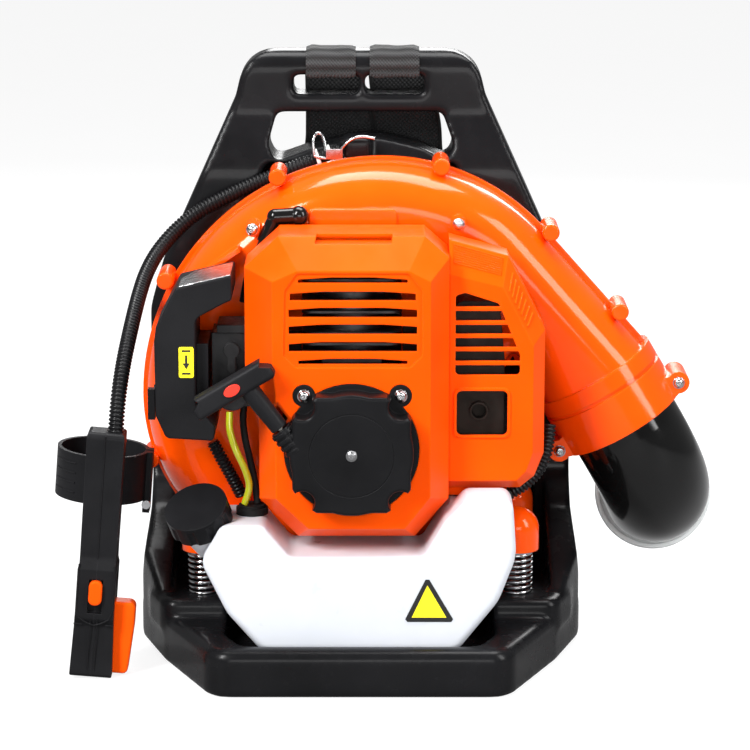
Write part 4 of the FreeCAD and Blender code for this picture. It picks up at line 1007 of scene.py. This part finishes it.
def make_wire_clip():
    """Bent chrome wire round the end of the conduit, with a flat tag."""
    hook = [mm(11, 47.5, 388), mm(4, 47.5, 390), mm(-5, 47.5, 389), mm(-12, 48, 384),
            mm(-19, 49, 374), mm(-27, 49.5, 371.5), mm(-36, 50, 374)]
    loop = [mm(-36, 50, 374), mm(-37.5, 50, 383), mm(-36, 52, 391), mm(-31, 54, 392),
            mm(-28, 52, 386), mm(-27, 50, 378)]

    def build(work):
        for line in (hook, loop):
            path = spaced(nurbs_line(line), 0.0008)
            sweep(work, path, 0.0013, sides=10)
        tag = [(-27, 372), (-14, 372), (-14, 380), (-27, 380)]
        prism(work, [(x * MM, z * MM) for x, z in tag], lambda a, b: Vector((a, 0.0478, b)),
              Vector((0, -0.0008, 0)))

    finish_piece(new_mesh("chrome_clip", build, angle=60), "frame", LOOK["chrome"],
                 ("wire_clip",))


def make_cover_details():
    """Moulded ribs and louvres on the side cover's slopes."""
    def build(work):
        for k in range(9):
            v = 0.1 + k * 0.065
            left = mm(69.5, -80.2 - 12 * v, 329 - 24 * v)
            right = mm(107 - 3.5 * v, -80.2 - 12 * v, 318.3 - 22 * v)
            sweep(work, spaced([left, right], 0.004), 0.00055, sides=8)
        for k in range(7):
            u = 0.12 + k * 0.1
            low = mm(111 + 26 * u, -80.4, 315 - 52 * u)
            high = mm(107.5 + 22 * u, -91.2, 294.5 - 42 * u)
            louvre = [low.lerp(high, 0.18), low.lerp(high, 0.86)]
            sweep(work, spaced(louvre, 0.004), 0.0009, sides=8)

    finish_piece(new_mesh("side_cover_ribs", build, angle=60), "powerhead",
                 LOOK["cover"])


def make_trim():
    """Silver trim on the filter cover's sloping top, and a plain tag on the fan case."""
    edge_x, edge_z, slope = 135, 299.1, 0.2341
    top = [(-133, -111), (-95, -111), (-95, -56), (-124, -56), (-133, -78)]

    def build(work):
        prism(work, [(x * MM, y * MM) for x, y in top],
              lambda a, b: Vector((a, b, (edge_z + (a / MM + edge_x) * slope) * MM)), UP * 0.0006)

    finish_piece(bevelled(new_mesh("filter_trim", build, angle=30), 0.0002, 2), "powerhead",
                 LOOK["silver"])
    tag = [(50.8, 326.9), (60.3, 325), (63.4, 316.8), (56.6, 318.3)]
    plate("case_tag", tag, -47.4, 0.4, "powerhead", "yellow", 0)


HANDLE_FOOT, HANDLE_LEAN = mm(-203.3, -97, 1.6), math.radians(4.6)
HANDLE = Matrix.Translation(HANDLE_FOOT) @ Matrix.Rotation(HANDLE_LEAN, 4, "Y")


def make_handle_details():
    """Switch button, shield and seams on the throttle handle, drawn upright in its own frame."""
    def button(work):
        outline = [(x * MM, z * MM) for x, z in rounded_outline(-5, 5, 57, 76, 4.6, 8)]
        prism(work, outline, lambda a, b: Vector((a, -0.0118, b)), Vector((0, -0.0078, 0)))

    piece = bevelled(new_mesh("stop_button", button, angle=40), 0.0016, 4)
    piece.data.transform(HANDLE)
    finish_piece(piece, "stop_switch", LOOK["button"], ("stop_switch",))

    def trim(work):
        shield = [(-13.4, 88), (-13.6, 52), (-11, 46), (-5, 42.5), (0, 41), (5, 42.5), (11, 46),
                  (13.6, 52), (13.4, 88)]
        for outline, radius in ((shield, 0.0006), ([(-15, 41.5), (-9, 41.5)], 0.0005),
                                ([(9, 41.5), (15, 41.5)], 0.0005)):
            line = spaced([mm(x, -16.0, z) for x, z in outline], 0.0012)
            sweep(work, line, radius, sides=8)
        for x in (-2.6, 2.6):
            sweep(work, spaced([mm(x, -16.0, 47), mm(x, -16.0, 6)], 0.003), 0.00035, sides=6)
        sweep(work, spaced([mm(0, -13.1, 92), mm(0, -13.1, 186)], 0.003), 0.0005, sides=6)
        for k in range(4):
            height = 0.134 + 0.0075 * k
            arc = [Vector((-0.005 + 0.0352 * math.cos(t), 0.0465 + 0.0352 * math.sin(t), height))
                   for t in (math.radians(200 + 3 * i) for i in range(14))]
            sweep(work, arc, 0.0006, sides=6)

    lines = new_mesh("handle_trim", trim, angle=60)
    lines.data.transform(HANDLE)
    finish_piece(lines, "frame", LOOK["handle"])


# ---------------------------------------------------------------- build
LOOK = make_materials()
make_camera()
make_cords()
make_stage()
dress_nodes()
make_side_conduits()
make_springs()
make_screws()
make_rope()
make_webbing_loops()
make_shoulder_straps()
make_lower_webbing()
make_back_cushion()
make_labels()
make_frame_shell()
make_wire_clip()
make_cover_details()
make_trim()
make_handle_details()
